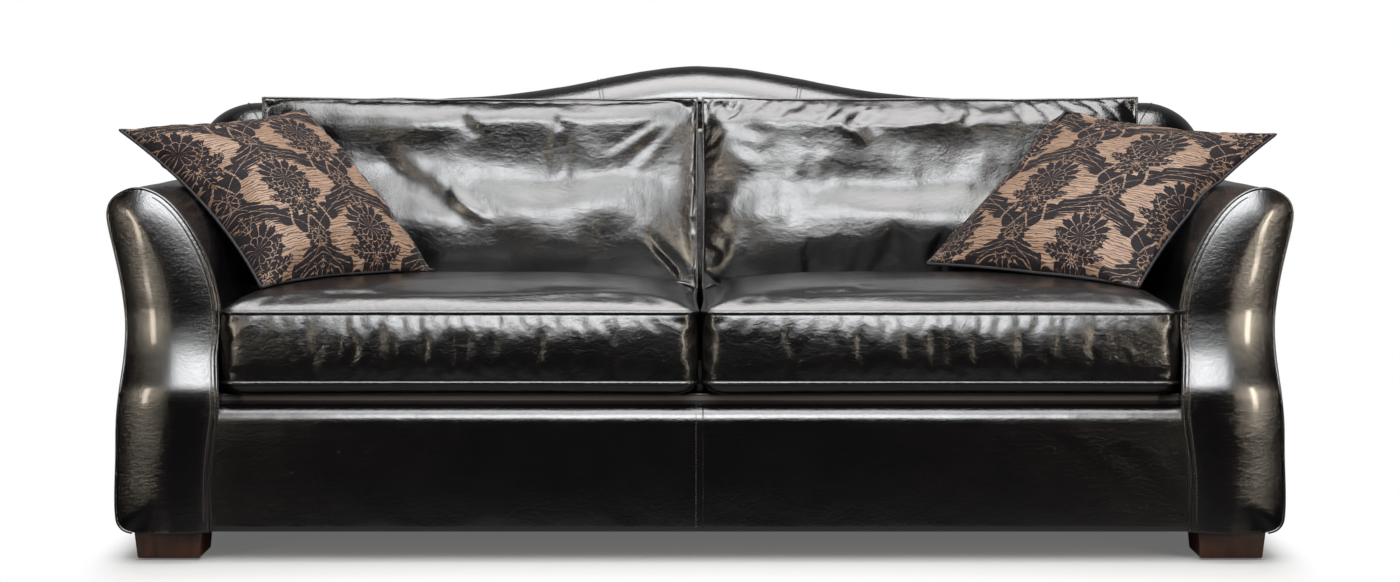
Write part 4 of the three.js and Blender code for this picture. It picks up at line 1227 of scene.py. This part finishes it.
def throwPillow(label, side, armSurface):
    look, size = pillow, pillow["size"]
    body = f"{label}_throw_pillow"
    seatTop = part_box(f"{label}_seat_cushion")[0].z + seat["welt"] + seat["boxing"]
    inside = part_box("inside_back_pad")[1].x + look["inside"]
    base = Vector((side * (inside - look["side"]), rollLow.y - look["ahead"], seatTop + look["lift"]))
    tip, top, inner = (base + Vector((side * out, deep, up)) * size
                       for out, deep, up in pillowShares[label].values())
    corners = [inner, base, tip, top] if side > 0 else [base, inner, top, tip]
    outer, upper, within, lower = pillowPulls[label]
    left, right = (within, outer) if side > 0 else (outer, within)
    outward = (corners[2] - corners[0]).cross(corners[3] - corners[1]).normalized()

    def place(u, v, face):
        s = u - (right * (1 + u) - left * (1 - u)) / size * (1 - v ** 2)
        t = v - (upper * (1 + v) - lower * (1 - v)) / size * (1 - u ** 2)
        low = corners[0].lerp(corners[1], (s + 1) / 2)
        high = corners[3].lerp(corners[2], (s + 1) / 2)
        full = max((1 - u ** 2) * (1 - v ** 2), 0) ** look["fullness"]
        swell = look["front"] * full if face > 0 else -look["rear"] * full
        return low.lerp(high, (t + 1) / 2) + outward * (swell * abs(face) + 0.001 * face)

    count = round(size / look["mesh"])
    piece = filledPair(f"{label}_pillow", count, count, place, look, damaskCloth, body)
    a, b, face = readings(piece, "across", "up", "face")
    places, normals = spots(piece), directions(piece)
    away = np.minimum(1 - abs(a), 1 - abs(b))
    folds = sum(creased(a * size / 2, b * size / 2, crease) for crease in pillowCreases[label])
    grow = folds * (face > 0) * ease(0, look["creaseEdge"], away)
    soft = roughened(places + (side, 0, 0), look["softSize"], 5)
    grow += look["soft"] * soft * ease(0, look["softEdge"], away)
    gathers = np.sin(np.arctan2(b, a) * look["gatherTurns"]) * np.exp(-(away / look["gatherReach"]) ** 2)
    grow += look["gathers"] * gathers * ease(0, look["gatherEdge"], away)
    places = places + normals * grow[:, None]
    walls = (armSurface, seatSurfaces[label], backSurfaces[label])
    setSpots(piece, keptClear(places, *walls, look["gap"]))
    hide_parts(body)
    rim = keptClear(np.array(rimOf(place, 79)), *walls, look["gap"] + look["cordRadius"])
    cordOf(f"{label}_pillow_cord", rim, look["cordRadius"], cordCloth, body, closed=True)


backSurfaces = {label: surfaceOf(piece) for label, piece in backs.items()}
for label, side in sides.items():
    throwPillow(label, side, surfaceOf(bpy.data.objects[f"{label}_arm_leather"]))
print("throw pillows filled")


# Feet: tapered walnut blocks

foot = {"taper": 0.922, "bevel": 0.0035}


def footBlock(name):
    low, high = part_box(name)
    centre = (low + high) / 2
    bm = bmesh.new()
    size = Matrix.Diagonal((high.x - low.x, high.y - low.y, high.z - low.z, 1))
    bmesh.ops.create_cube(bm, size=1, matrix=Matrix.Translation(centre) @ size)
    bottom = [vert for vert in bm.verts if vert.co.z < centre.z]
    space = Matrix.Translation(-centre)
    bmesh.ops.scale(bm, vec=(foot["taper"], foot["taper"], 1), space=space, verts=bottom)
    bmesh.ops.bevel(bm, geom=bm.edges[:], offset=foot["bevel"], segments=3, profile=0.5,
                    affect="EDGES", material=-1)
    piece = lifted(bm, f"{name}_block", walnut)
    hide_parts(name)


for end in ("front", "rear"):
    for label in sides:
        footBlock(f"{end}_{label}_foot")
print("feet made")


# Finishes of the frame pieces that stay as they are

nodeFinishes = {"bolt": steel, "spring_": steel, "glide": nylon, "dust_cover": cambric,
                "seat_deck": platformCloth}
for name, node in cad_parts.items():
    known = [made for key, made in nodeFinishes.items() if key in name and "rail" not in name]
    finish = known[0] if known else hardwood
    if not node.material_slots:
        node.data.materials.append(finish)
    for holder in node.material_slots:
        holder.material = finish
print("frame pieces finished")


# Floor, studio and lamps

# The soft shadow's half size, how much steeper it ends at the sides, and where it fades out and begins.
shadow = {"half": (0.99, 0.38), "steep": 3.5, "fade": (0.60, 0.20), "grey": 0.172, "lift": 0.13}
# What the leather mirrors: a dark floor in front, and a bright one behind and beside the sofa.
mirrored = {"floor": 0.007, "shadow": 0.12, "bright": 0.5, "behind": (0.8, 1.7), "beside": (1.5, 2.4),
            "besideFrom": (-0.5, 0.1)}
studio = {"floor": 14.0, "ambient": 0.16, "front": 0.015, "behind": 0.22, "turn": (-0.05, 0.55)}
daylight, amber = (0.97, 0.985, 1), (1, 0.87, 0.70)
lamps = {
    "overhead": {"size": (3.3, 2.15), "place": (0, -0.475, 3.3), "aim": (0, -0.475, 0), "power": 325,
                 "colour": (1, 0.99, 0.98)},
    "window": {"size": (2.5, 2.5), "place": (0, -2.52, 2.60), "aim": (0, -1.47, 1.70), "power": 180,
               "colour": daylight},
    "core": {"size": (2.1, 1.25), "place": (0, -2.68, 2.30), "aim": (0, -1.63, 1.40), "power": 150,
             "colour": daylight},
    "left strip": {"size": (0.24, 1.25), "place": (-2.4, -2.7, 0.85), "aim": (0, -0.3, 0.6), "power": 50,
                   "colour": amber},
    "right strip": {"size": (0.24, 1.25), "place": (2.4, -2.7, 0.85), "aim": (0, -0.3, 0.6), "power": 80,
                    "colour": amber},
}


def grey(level):
    return (level, level, level, 1)


def addLamp(name, look):
    data = bpy.data.lights.new(name, "AREA")
    data.shape = "RECTANGLE"
    data.size, data.size_y = look["size"]
    data.energy = look["power"]
    data.color = look["colour"]
    lamp = bpy.data.objects.new(name, data)
    lamp.location = look["place"]
    way = Vector(look["aim"]) - Vector(look["place"])
    lamp.rotation_euler = way.to_track_quat("-Z", "Y").to_euler()
    lamp.visible_camera = False
    bpy.context.scene.collection.objects.link(lamp)


def addFloor():
    bm = bmesh.new()
    bmesh.ops.create_grid(bm, x_segments=2, y_segments=2, size=studio["floor"])
    mesh = bpy.data.meshes.new("floor")
    bm.to_mesh(mesh)
    bm.free()
    floor = bpy.data.objects.new("floor", mesh)
    bpy.context.scene.collection.objects.link(floor)
    finish = Finish("floor")
    x, y, _ = finish.split(finish.place())
    dx = ((abs(x) - shadow["half"][0]) * shadow["steep"]).most(0.0)
    dy = (abs(y) - shadow["half"][1]).most(0.0)
    near = finish.between((dx * dx + dy * dy).maths("SQRT"), *shadow["fade"])
    white, lift = (finish.node("ShaderNodeEmission", None, {"Color": grey(1), "Strength": strength})
                   for strength in (1.0, shadow["lift"]))
    pale = finish.node("ShaderNodeBsdfDiffuse", None, {"Color": grey(shadow["grey"])})
    shadowed = finish.node("ShaderNodeAddShader", None, {0: pale, 1: lift})
    seen = finish.node("ShaderNodeMixShader", None, {0: near, 1: white, 2: shadowed})
    beside = finish.between(abs(x), *mirrored["beside"]) * finish.between(y, *mirrored["besideFrom"])
    around = finish.between(y, *mirrored["behind"]).most(beside)
    dim = finish.mixed(near, grey(mirrored["floor"]), grey(mirrored["shadow"]))
    dim = finish.mixed(around, dim, grey(mirrored["bright"]))
    other = finish.node("ShaderNodeBsdfDiffuse", None, {"Color": dim})
    paths = finish.node("ShaderNodeLightPath", out="Is Camera Ray")
    finish.show(finish.node("ShaderNodeMixShader", None, {0: paths, 1: other, 2: seen}))
    mesh.materials.append(finish.material)


def addStudio():
    world = bpy.data.worlds.new("studio")
    bpy.context.scene.world = world
    world.use_nodes = True
    finish = Finish("studio", world.node_tree)
    _, y, _ = finish.split(finish.node("ShaderNodeTexCoord", out="Generated"))
    behind = finish.between(y, *studio["turn"]) * studio["behind"] + studio["front"]
    camera = finish.node("ShaderNodeLightPath", out="Is Camera Ray")
    soft = finish.node("ShaderNodeLightPath", out="Is Diffuse Ray")
    level = behind * (1 - soft) + soft * studio["ambient"]
    level = level * (1 - camera) + camera
    light = finish.node("ShaderNodeBackground", None, {"Color": grey(1), "Strength": level})
    finish.show(light, "ShaderNodeOutputWorld")


addFloor()
addStudio()
for name, look in lamps.items():
    addLamp(name, look)
print("studio lit")
